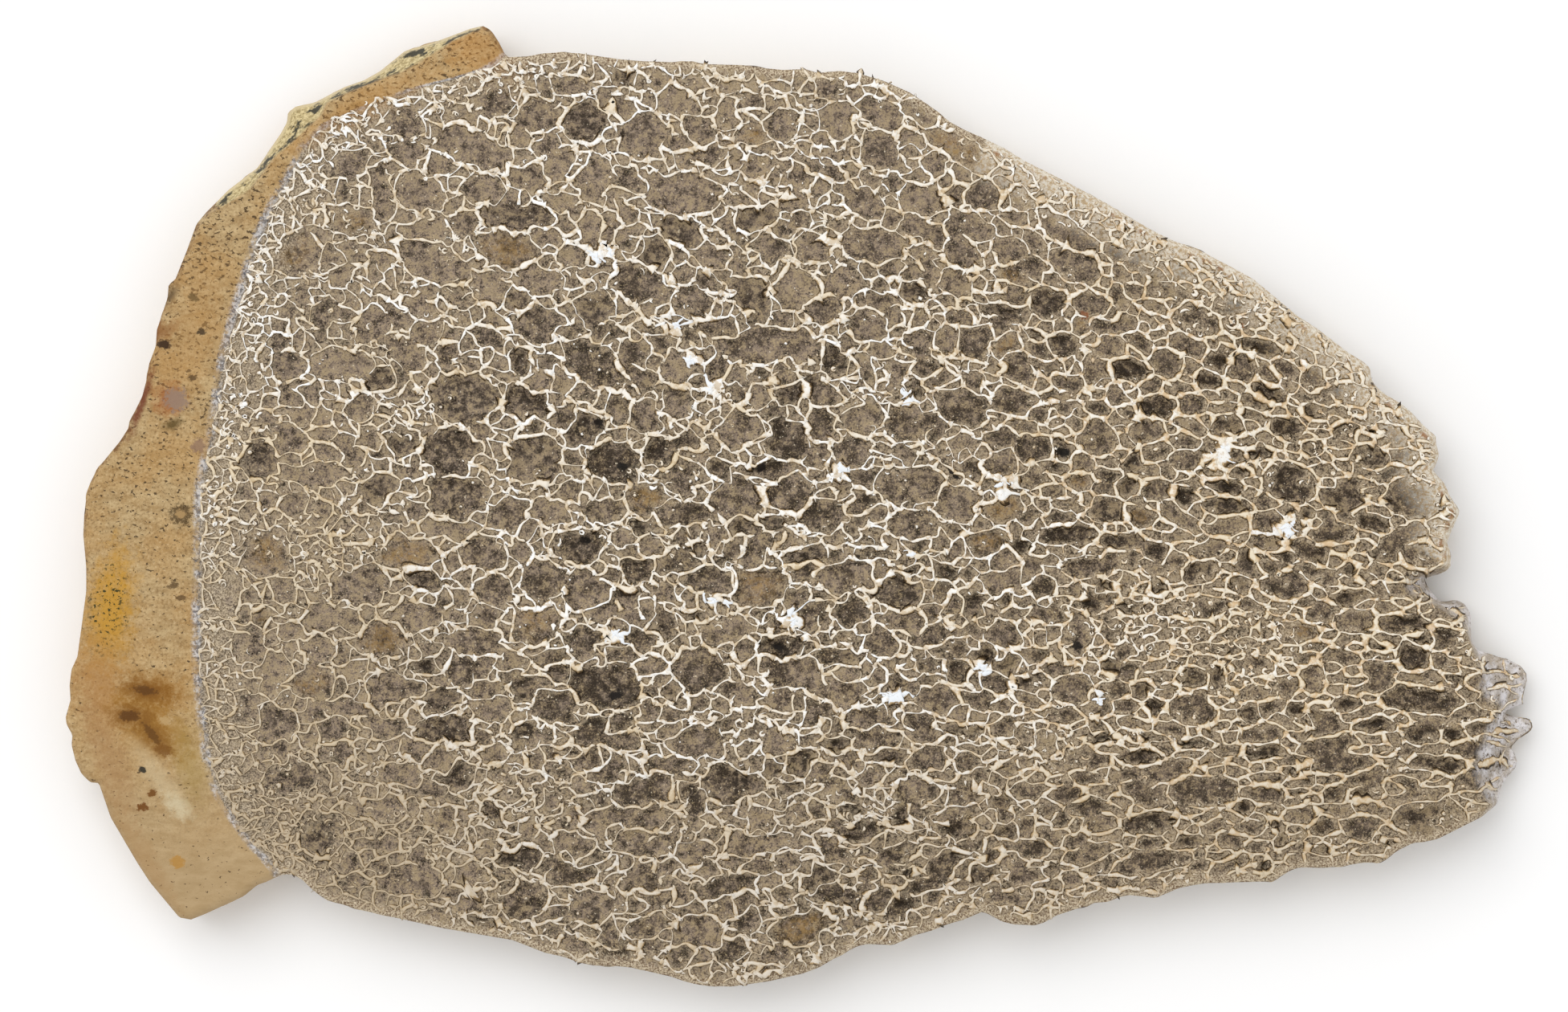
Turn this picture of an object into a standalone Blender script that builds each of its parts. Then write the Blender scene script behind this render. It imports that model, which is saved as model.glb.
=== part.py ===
"""Sawn slab of silicified dinosaur bone, lying on its flat back with the sawn face up.

The slab is a slice across a limb bone, one stone all through. A band of plain outer bone
runs along -X, marrow cells fill the rest, and the end towards +X is broken. All sizes are
millimetres, with the origin under the middle of the slab, on its back.
"""
import math

import bmesh
import bpy
import numpy as np
from mathutils import Vector
from mathutils.geometry import delaunay_2d_cdt

MM = 0.001
THICKNESS = 8.0

# Height of the line where the edge all round reaches furthest out, one for each stretch
TOP_LIP = 7.6
UPPER_RIGHT_LIP = 6.8
UPPER_END_LIP = 6.4
BROKEN_END_LIP = 3.4
LOWER_LIP = 7.5
RIM_LIP = 7.5
WEATHERED_LIP = 4.6

# How far the worn corner of the face stands back from the outline, and how often lips are eased
WORN_CORNER = 0.55
LIP_EASING = 2

# The side of the slab: share of the lip's height, and how far the side stands back there
SIDE_RINGS = ((0.66, 0.10), (0.33, 0.28), (0.0, 0.45))
SIDE_ROUGHNESS = 0.12
ROUGHNESS_SEED = 11

# Marrow cells: mineral fills some of them almost to the face, others are open pits
CELL_SHARE = 0.88
FLOOR_SHARE = 0.62
FILLED_DEPTH = 0.45
OPEN_DEPTH = 1.1
POINT_SPACING = 1.55
FEWEST_POINTS = 7
MOST_POINTS = 13
TRIPLE_LOBE = 0.05
FIVEFOLD_LOBE = 0.03

# Points of the face closer together than this are one point
MERGE_DISTANCE = 1e-6

STONE_COLOUR = (0.40, 0.31, 0.21, 1.0)
STONE_ROUGHNESS = 0.5

# Outline of the slab, clockwise from its top left tip
TOP_EDGE = (
    (-32.6, 49.0), (-31.6, 48.3), (-30.9, 47.2), (-30.3, 46.0), (-29.9, 45.7), (-27.9, 45.8),
    (-26.4, 46.1), (-22.7, 46.1), (-18.7, 45.5), (-16.3, 45.3), (-13.3, 45.2), (-11.1, 45.3),
    (-10.1, 45.0), (-6.0, 44.9), (-1.9, 44.4), (0.3, 44.5), (1.6, 44.1), (3.8, 44.3), (5.6, 44.1),
    (8.3, 43.3), (11.0, 42.1), (12.2, 41.3), (15.1, 39.1),
)
UPPER_RIGHT_EDGE = (
    (18.9, 37.3), (20.8, 36.4), (22.7, 35.2), (31.2, 30.8), (35.9, 28.0), (40.7, 26.0), (44.9, 23.8),
    (46.1, 23.1), (50.7, 19.3), (55.8, 15.6), (57.3, 14.7),
)
UPPER_END = (
    (58.0, 14.1), (58.2, 12.9), (58.7, 12.1), (59.7, 11.3), (61.1, 10.5), (62.2, 9.6), (63.2, 8.5),
    (64.7, 7.1), (64.8, 6.3), (65.1, 5.3), (64.9, 4.5), (64.5, 3.6), (65.7, 2.2), (66.2, 1.0),
    (67.2, -0.6), (67.1, -0.9), (66.7, -1.9), (66.3, -2.7), (65.9, -3.9), (66.2, -4.5), (66.3, -6.3),
    (65.9, -6.7),
)
BROKEN_END = (
    (65.2, -7.1), (63.8, -7.4), (64.2, -8.3), (65.5, -9.8), (66.2, -9.9), (67.3, -9.7), (68.1, -10.1),
    (68.7, -11.0), (68.8, -14.0), (69.4, -14.8), (71.0, -15.4), (72.6, -15.8), (73.8, -16.5),
    (74.4, -17.3), (74.5, -18.0), (73.9, -19.9), (74.1, -20.4), (73.0, -20.8), (72.2, -21.3),
    (72.3, -21.5), (74.7, -22.0), (75.0, -22.6), (74.8, -23.0), (73.5, -24.0), (72.8, -24.8),
    (73.3, -25.6), (73.5, -26.3), (73.3, -27.0), (72.6, -27.7), (71.8, -28.8), (71.3, -30.5),
)
LOWER_EDGE = (
    (70.4, -31.1), (69.3, -31.8), (66.2, -33.3), (64.8, -34.0), (63.4, -34.3), (62.3, -34.4),
    (60.7, -35.2), (59.7, -36.0), (58.9, -36.4), (57.2, -36.4), (53.5, -36.9), (50.7, -36.9),
    (49.8, -37.2), (47.9, -38.3), (41.1, -38.5), (38.4, -39.0), (36.1, -40.0), (33.4, -39.7),
    (32.4, -39.9), (31.2, -40.4), (29.8, -40.5), (25.9, -41.8), (24.7, -42.5), (23.7, -42.8),
    (21.6, -42.7), (20.4, -42.4), (19.1, -41.7), (18.4, -41.4), (16.5, -42.2), (14.8, -42.7),
    (13.3, -43.3), (11.5, -43.8), (9.2, -44.8), (6.7, -44.7), (5.7, -44.9), (4.3, -45.6), (1.7, -47.1),
    (0.1, -47.7), (-3.4, -48.5), (-7.0, -49.0), (-9.4, -49.0), (-10.8, -48.8), (-13.4, -48.0),
    (-17.4, -47.1), (-19.3, -46.9), (-21.2, -46.9), (-22.7, -46.6), (-24.3, -46.0), (-26.2, -45.6),
    (-29.5, -44.3), (-36.5, -43.1), (-44.7, -41.3), (-48.4, -40.2), (-50.0, -39.1), (-51.0, -38.1),
    (-52.0, -37.6),
)
RIM_EDGE = (
    (-53.1, -37.6), (-55.6, -38.7), (-56.9, -39.8), (-60.8, -41.6), (-62.3, -42.2), (-63.5, -42.0),
    (-66.5, -38.4), (-67.8, -36.4), (-70.5, -31.8), (-71.7, -28.3), (-72.6, -28.2), (-73.5, -27.3),
    (-74.1, -26.0), (-74.5, -24.4), (-74.4, -23.4), (-75.0, -22.3), (-75.1, -21.6), (-74.6, -19.8),
    (-74.7, -18.3), (-74.5, -16.7), (-73.9, -15.4), (-73.0, -8.7), (-73.0, -6.3), (-73.3, -3.0),
    (-73.2, -0.9), (-73.0, 0.8), (-72.6, 2.3), (-71.9, 3.7), (-69.6, 6.5), (-68.7, 7.9), (-68.6, 8.6),
    (-68.1, 9.5), (-67.3, 11.1), (-66.9, 12.6), (-66.6, 14.4), (-65.9, 16.3), (-65.8, 17.9),
    (-65.4, 19.1), (-64.7, 21.2), (-64.6, 22.5), (-63.9, 23.1), (-61.8, 28.7), (-61.0, 29.8),
)
WEATHERED_EDGE = (
    (-58.7, 32.3), (-55.8, 34.6), (-53.4, 38.2), (-52.8, 39.3), (-52.7, 40.3), (-51.9, 40.9),
    (-50.0, 41.3), (-46.9, 42.9), (-44.9, 43.6), (-43.3, 44.5), (-40.7, 46.6), (-37.3, 47.6),
    (-33.9, 48.8),
)

# Lines where the flat sawn face ends and the weathered or broken slope begins
WEATHERED_CREASE = (
    (-59.2, 30.1), (-57.7, 31.1), (-56.2, 32.0), (-54.9, 33.8), (-53.6, 35.4), (-52.0, 36.7),
    (-50.5, 38.1), (-48.9, 39.6), (-48.4, 40.9), (-46.9, 41.6), (-44.8, 42.5), (-42.5, 43.4),
    (-40.7, 44.0), (-38.6, 45.2), (-36.5, 46.5), (-35.5, 47.2),
)
BREAK_CREASE = (
    (62.4, -6.7), (61.3, -7.7), (61.6, -8.9), (63.2, -9.7), (65.2, -10.7), (66.5, -11.5), (67.6, -12.5),
    (68.1, -13.9), (68.6, -15.2), (69.0, -16.8), (68.8, -18.5), (69.6, -19.8), (71.1, -20.5),
    (70.3, -21.6), (69.6, -22.5), (69.3, -23.9), (68.6, -25.0), (68.3, -26.6), (68.6, -28.3),
    (69.3, -29.5), (69.4, -30.6),
)

# Each stretch of the outline with its lip, and its crease where that isn't just a worn corner
STRETCHES = (
    (TOP_EDGE, TOP_LIP, None),
    (UPPER_RIGHT_EDGE, UPPER_RIGHT_LIP, None),
    (UPPER_END, UPPER_END_LIP, None),
    (BROKEN_END, BROKEN_END_LIP, BREAK_CREASE),
    (LOWER_EDGE, LOWER_LIP, None),
    (RIM_EDGE, RIM_LIP, None),
    (WEATHERED_EDGE, WEATHERED_LIP, WEATHERED_CREASE),
)

# The larger marrow cells: x, y, half length, half width, turn in degrees
FILLED_CELLS = (
    (-58.7, -9.0, 1.4, 2.0, 0), (-54.7, -4.5, 2.4, 2.4, 0), (-53.9, -17.2, 1.4, 2.1, 0),
    (-53.5, -22.3, 2.1, 1.9, 0), (-52.3, -27.9, 2.4, 1.7, 0), (-52.3, 14.3, 1.6, 1.7, 0),
    (-52.1, 6.9, 2.0, 1.5, 0), (-50.2, -18.2, 2.0, 1.6, 0), (-49.8, 3.2, 3.8, 1.0, 0),
    (-48.2, -11.5, 3.0, 1.1, 0), (-47.4, 14.3, 2.9, 1.3, 0), (-46.7, -20.7, 2.7, 1.1, 0),
    (-46.5, 34.7, 2.5, 1.2, 20), (-45.7, 29.0, 2.9, 1.6, -15), (-45.3, -8.1, 2.8, 1.7, 0),
    (-43.4, -31.0, 2.6, 1.1, 0), (-42.9, 31.9, 1.1, 2.7, 0), (-42.6, -27.5, 4.1, 1.1, 3),
    (-42.3, -22.5, 2.4, 1.3, 0), (-41.8, -18.6, 2.6, 1.5, 10), (-40.8, 39.2, 2.2, 1.5, 0),
    (-40.4, -4.9, 3.5, 1.6, 0), (-40.2, 15.3, 1.7, 1.6, 0), (-40.0, -38.5, 3.6, 1.7, 3),
    (-39.2, -11.1, 2.8, 1.4, 0), (-38.8, 31.9, 2.5, 2.0, -30), (-38.5, 20.1, 2.1, 1.3, -25),
    (-37.5, 24.9, 3.9, 2.1, -22), (-35.9, -2.3, 3.1, 1.1, 0), (-33.5, -13.9, 3.3, 1.5, 0),
    (-33.5, 36.4, 4.1, 1.6, -22), (-32.6, -4.9, 2.2, 1.7, 0), (-32.1, 17.1, 2.2, 1.1, -30),
    (-32.1, 22.0, 1.7, 1.6, 0), (-31.7, 41.3, 2.0, 2.0, -40), (-31.5, -20.8, 2.6, 1.2, 5),
    (-31.4, -8.9, 2.0, 1.8, 0), (-30.0, -0.9, 2.0, 1.5, 0), (-28.5, -40.5, 2.0, 2.0, 0),
    (-28.1, 33.1, 2.0, 1.6, 0), (-27.1, -11.9, 2.6, 1.8, 0), (-27.1, 18.4, 2.5, 1.6, -8),
    (-27.1, 22.7, 2.8, 1.3, 0), (-26.9, 39.6, 2.5, 1.6, 0), (-26.4, -7.6, 2.1, 2.0, 0),
    (-25.9, -0.6, 1.9, 1.4, 0), (-25.4, -20.5, 2.6, 1.6, 10), (-23.1, 42.8, 2.7, 1.0, 0),
    (-22.4, -13.9, 2.0, 1.5, 0), (-21.9, -8.3, 2.1, 1.9, 0), (-21.2, -40.9, 2.8, 1.4, 5),
    (-21.2, 14.4, 3.6, 2.2, -38), (-21.2, 33.1, 1.7, 2.2, 0), (-20.8, -0.6, 2.5, 1.2, 0),
    (-20.4, -23.8, 3.9, 1.0, 0), (-17.1, 23.1, 2.3, 2.0, 0), (-16.3, -29.1, 3.4, 1.4, 12),
    (-16.3, 37.6, 2.5, 1.9, 0), (-16.0, -34.4, 3.8, 1.1, 3), (-16.0, 0.8, 1.9, 1.6, 0),
    (-15.9, 9.0, 1.4, 1.8, 0), (-13.6, -26.4, 2.5, 1.0, 0), (-12.8, 13.7, 1.5, 1.8, 0),
    (-12.4, 3.0, 2.3, 1.4, 0), (-12.2, 31.9, 3.9, 2.0, -10), (-12.0, -0.9, 2.5, 1.1, 0),
    (-11.4, 20.9, 1.9, 1.6, 0), (-10.7, -24.2, 2.5, 1.6, 0), (-10.6, -43.4, 2.8, 1.6, 8),
    (-10.6, -16.6, 2.7, 2.3, 0), (-10.4, 38.4, 1.8, 1.6, -15), (-9.9, -7.6, 2.0, 1.3, 0),
    (-7.7, -38.7, 3.6, 1.1, 14), (-7.7, -12.6, 2.8, 1.3, 0), (-6.6, 0.4, 2.9, 2.0, -5),
    (-6.5, 7.7, 1.9, 1.8, 0), (-4.8, -34.4, 3.3, 1.1, 5), (-3.8, 16.2, 5.1, 1.7, 0),
    (-3.2, 26.1, 2.0, 1.5, 0), (-2.4, -23.9, 1.8, 1.6, 20), (-1.1, 1.3, 2.3, 1.5, 0),
    (-0.6, -17.2, 3.1, 1.6, 0), (-0.6, 22.2, 1.8, 2.3, 0), (0.1, -43.0, 3.0, 1.5, 12),
    (1.6, 34.5, 2.9, 1.1, -25), (2.0, 8.1, 1.4, 2.0, 0), (2.3, -0.9, 2.5, 1.4, 0),
    (3.4, 39.5, 2.0, 1.8, 0), (4.2, 22.7, 2.5, 1.5, 0), (4.3, -19.0, 2.7, 1.3, 0),
    (4.6, -7.4, 2.7, 1.6, 0), (5.2, 5.7, 1.8, 1.5, 0), (6.2, 8.8, 1.8, 1.6, 0),
    (6.6, 18.3, 2.2, 1.6, -15), (7.4, 27.0, 3.6, 1.7, -10), (7.8, 36.3, 2.0, 1.5, -25),
    (8.3, 40.0, 2.5, 1.3, -20), (9.9, -11.9, 2.5, 1.0, -6), (10.7, 8.4, 2.4, 1.7, -10),
    (11.1, 2.3, 3.4, 1.7, -3), (11.4, -1.8, 2.8, 1.3, -6), (11.5, -29.1, 2.0, 1.5, 0),
    (12.4, 31.5, 2.3, 1.8, 0), (15.8, 0.3, 2.4, 1.4, 0), (15.8, 36.4, 4.1, 1.5, -32),
    (16.3, 9.8, 2.8, 2.0, 0), (16.3, 25.7, 2.0, 1.6, -20), (16.9, 28.6, 2.4, 1.1, -30),
    (17.7, 16.7, 1.7, 1.6, 0), (18.5, 31.5, 1.6, 1.6, 0), (18.7, -3.7, 2.1, 1.3, 0),
    (20.4, -7.6, 2.1, 1.3, 0), (20.5, -13.2, 1.7, 1.6, 0), (20.5, -0.3, 1.8, 1.4, 0),
    (22.0, 13.8, 1.8, 1.5, 0), (23.6, 5.7, 1.7, 1.6, 0), (27.1, 27.8, 3.6, 1.5, -33),
    (27.5, -18.8, 2.0, 1.3, 0), (27.9, 24.3, 2.8, 1.3, -25), (28.1, -13.0, 1.4, 2.5, 0),
    (28.9, -6.4, 2.5, 1.0, -5), (30.2, 6.8, 1.8, 1.6, 0), (39.7, -20.9, 2.4, 1.6, -15),
    (40.2, -10.4, 3.7, 1.1, 3), (40.2, 18.8, 2.5, 1.6, -15), (41.0, -29.1, 3.6, 1.5, 0),
    (45.9, -16.4, 2.2, 1.1, 0), (49.2, -8.2, 2.4, 1.3, 0), (50.5, -12.9, 2.2, 1.2, 0),
    (53.7, -24.4, 3.1, 0.9, 12), (55.4, -26.4, 3.5, 0.7, 5), (56.5, -11.8, 2.1, 1.2, 0),
    (62.8, -4.5, 1.9, 1.2, 0),
)
OPEN_CELLS = (
    (-55.5, 4.5, 2.1, 2.0, 0), (-51.9, 25.5, 2.2, 2.2, 0), (-49.0, -33.2, 2.5, 2.0, 0),
    (-43.3, 1.7, 1.9, 1.4, 0), (-42.9, -13.7, 2.8, 1.5, 0), (-36.6, -22.9, 3.1, 1.4, 0),
    (-35.9, 5.7, 2.8, 2.1, 0), (-35.1, 1.3, 3.4, 1.9, -8), (-34.7, 11.0, 3.6, 2.5, 0),
    (-30.2, 26.1, 3.4, 1.6, -8), (-29.4, 29.4, 3.5, 1.3, 0), (-29.0, -35.9, 2.3, 1.1, 0),
    (-28.1, 10.4, 2.5, 1.8, -10), (-27.3, 4.9, 2.9, 2.4, 0), (-22.7, -4.0, 2.7, 1.5, 0),
    (-22.4, 7.7, 2.2, 1.4, 25), (-22.0, 39.2, 2.2, 1.7, 0), (-21.2, 20.0, 2.0, 2.0, 0),
    (-20.0, -18.4, 3.8, 2.3, -10), (-19.1, 4.3, 3.0, 2.0, 0), (-12.8, 28.2, 2.7, 1.6, -20),
    (-7.1, -28.3, 3.4, 1.8, 0), (-5.2, 21.4, 2.1, 2.0, 0), (-4.6, 29.4, 2.1, 1.2, 0),
    (-4.4, -8.2, 2.8, 2.0, 0), (-2.4, -14.4, 2.3, 1.1, 0), (-1.6, 6.8, 2.2, 1.9, 0),
    (7.0, -33.1, 3.7, 0.7, 5), (9.7, -9.0, 2.6, 1.4, -5), (25.0, 20.7, 1.9, 1.5, -25),
    (27.2, -3.0, 2.8, 1.1, 0), (31.0, -0.5, 2.0, 1.4, 0), (33.5, 13.8, 2.0, 1.2, -15),
    (35.3, -32.4, 2.8, 1.1, 5), (43.4, -0.1, 2.6, 1.0, -3), (49.7, 2.3, 2.8, 2.0, -15),
    (62.4, 0.7, 3.1, 2.1, -5), (63.1, -19.8, 4.3, 1.3, -3), (63.9, -31.6, 3.6, 1.5, 4),
    (64.9, -26.2, 3.1, 0.8, -2),
)


def outline():
    """Outline points, and at each the height of the lip, eased over its neighbours."""
    points = np.array([point for stretch, _, _ in STRETCHES for point in stretch])
    lips = np.array([lip for stretch, lip, _ in STRETCHES for _ in stretch])
    for _ in range(LIP_EASING):
        lips = (np.roll(lips, 1) + lips + np.roll(lips, -1)) / 3
    return points, lips


def inward_normals(points):
    """Unit normals of a clockwise outline, pointing into the slab, taken over four neighbours."""
    along = np.roll(points, -2, axis=0) - np.roll(points, 2, axis=0)
    normals = np.stack([along[:, 1], -along[:, 0]], axis=1)
    return normals / np.linalg.norm(normals, axis=1)[:, None]


def face_edge(edge, normals):
    """Loop round the flat face: each crease, and elsewhere the outline set back by the worn corner."""
    inset = edge + normals * WORN_CORNER
    loop = []
    first = 0
    for stretch, _, crease in STRETCHES:
        loop.extend(crease or inset[first:first + len(stretch)])
        first += len(stretch)
    return loop


def cell_ring(cell, share, count):
    """Points of one cell's wall: an ellipse with its corners pulled a little towards a polygon."""
    x, y, half_length, half_width, turn = cell
    angles = np.linspace(0.0, 2 * math.pi, count, endpoint=False) + 0.5 * (x + y)
    lobes = TRIPLE_LOBE * np.sin(3 * angles + x) + FIVEFOLD_LOBE * np.sin(5 * angles + y)
    reach = share * (1 + lobes)
    u = half_length * reach * np.cos(angles)
    v = half_width * reach * np.sin(angles)
    cosine = math.cos(math.radians(turn))
    sine = math.sin(math.radians(turn))
    return np.stack([x + u * cosine - v * sine, y + u * sine + v * cosine], axis=1)


def face_points(edge, lips, normals):
    """Points of the sawn face with their heights, and the lines that its triangles keep to."""
    points = [(x, y, lip) for (x, y), lip in zip(edge, lips)]
    lines = [(i, (i + 1) % len(points)) for i in range(len(points))]

    def add_loop(loop, height):
        first = len(points)
        points.extend((x, y, height) for x, y in loop)
        lines.extend((i, i + 1) for i in range(first, len(points) - 1))
        lines.append((len(points) - 1, first))

    add_loop(face_edge(edge, normals), THICKNESS)
    for cells, depth in ((FILLED_CELLS, FILLED_DEPTH), (OPEN_CELLS, OPEN_DEPTH)):
        for cell in cells:
            around = math.pi * (cell[2] + cell[3])
            count = max(FEWEST_POINTS, min(MOST_POINTS, round(around / POINT_SPACING)))
            add_loop(cell_ring(cell, CELL_SHARE, count), THICKNESS)
            add_loop(cell_ring(cell, CELL_SHARE * FLOOR_SHARE, count // 2 + 1), THICKNESS - depth)
    return points, lines


def triangulate(points, lines, border):
    """Triangles that fill the border and keep every line, turned to face up."""
    flat = [Vector(point[:2]) for point in points]
    vertices, _, triangles, origins, _, _ = delaunay_2d_cdt(flat, lines, [border], 1, MERGE_DISTANCE)
    if len(vertices) != len(points):
        raise ValueError("two lines of the face cross or touch")
    source = [ids[0] for ids in origins]
    result = []
    for a, b, c in triangles:
        ab = vertices[b] - vertices[a]
        ac = vertices[c] - vertices[a]
        order = (a, b, c) if ab.cross(ac) > 0 else (a, c, b)
        result.append([source[i] for i in order])
    return result


def build_slab():
    """One closed solid: the face with its cells and slopes, the rough side, and the flat back."""
    edge, lips = outline()
    count = len(edge)
    border = list(range(count))
    normals = inward_normals(edge)
    points, lines = face_points(edge, lips, normals)
    face = triangulate(points, lines, border)
    back = triangulate([(x, y, 0.0) for x, y in edge], lines[:count], border)

    rng = np.random.default_rng(ROUGHNESS_SEED)
    mesh = bmesh.new()
    top = [mesh.verts.new((x * MM, y * MM, z * MM)) for x, y, z in points]
    rings = [top[:count]]
    for share, setback in SIDE_RINGS:
        inset = setback + SIDE_ROUGHNESS * rng.uniform(-1, 1, count) * (share > 0)
        ring = edge + normals * inset[:, None]
        rings.append([mesh.verts.new((x * MM, y * MM, lip * share * MM)) for (x, y), lip in zip(ring, lips)])

    for triangle in face:
        mesh.faces.new([top[i] for i in triangle])
    for upper, lower in zip(rings, rings[1:]):
        for i in range(count):
            j = (i + 1) % count
            mesh.faces.new((upper[i], upper[j], lower[j], lower[i]))
    for a, b, c in back:
        mesh.faces.new((rings[-1][c], rings[-1][b], rings[-1][a]))

    bmesh.ops.triangulate(mesh, faces=mesh.faces[:])
    bmesh.ops.recalc_face_normals(mesh, faces=mesh.faces[:])
    data = bpy.data.meshes.new("bone_slab")
    mesh.to_mesh(data)
    mesh.free()
    return data


def stone():
    """Plain polished stone."""
    material = bpy.data.materials.new("fossil_stone")
    material.use_nodes = True
    shader = material.node_tree.nodes["Principled BSDF"]
    shader.inputs["Base Color"].default_value = STONE_COLOUR
    shader.inputs["Roughness"].default_value = STONE_ROUGHNESS
    shader.inputs["Metallic"].default_value = 0.0
    return material


for old in list(bpy.data.objects):
    bpy.data.objects.remove(old, do_unlink=True)

slab = bpy.data.objects.new("bone_slab", build_slab())
slab.data.materials.append(stone())
bpy.context.scene.collection.objects.link(slab)
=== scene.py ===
import math
from collections import defaultdict

import bpy
import numpy as np
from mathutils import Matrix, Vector
from mathutils.geometry import delaunay_2d_cdt


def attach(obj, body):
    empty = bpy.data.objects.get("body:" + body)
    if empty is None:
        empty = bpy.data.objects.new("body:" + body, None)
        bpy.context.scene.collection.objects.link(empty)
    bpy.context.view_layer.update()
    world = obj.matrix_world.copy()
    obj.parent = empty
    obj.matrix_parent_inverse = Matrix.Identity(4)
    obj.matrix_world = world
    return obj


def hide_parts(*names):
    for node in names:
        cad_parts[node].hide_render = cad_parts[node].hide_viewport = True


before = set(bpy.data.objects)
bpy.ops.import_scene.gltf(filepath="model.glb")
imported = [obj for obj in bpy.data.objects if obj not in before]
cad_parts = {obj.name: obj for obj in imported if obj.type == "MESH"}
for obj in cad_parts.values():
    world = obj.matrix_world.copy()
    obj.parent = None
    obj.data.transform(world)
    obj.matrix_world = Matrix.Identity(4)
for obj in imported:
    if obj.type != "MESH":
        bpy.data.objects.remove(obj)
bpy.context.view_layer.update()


# The trabeculae: the web of thin bony struts inside a dinosaur's limb bone, turned to pale stone.
# The slab is sawn across them, and because they wear less than the chalcedony in the cells between
# them, they stand a little proud, their crowns level with the sawn face.
MM = 0.001
THICKNESS = 8.0

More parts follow.
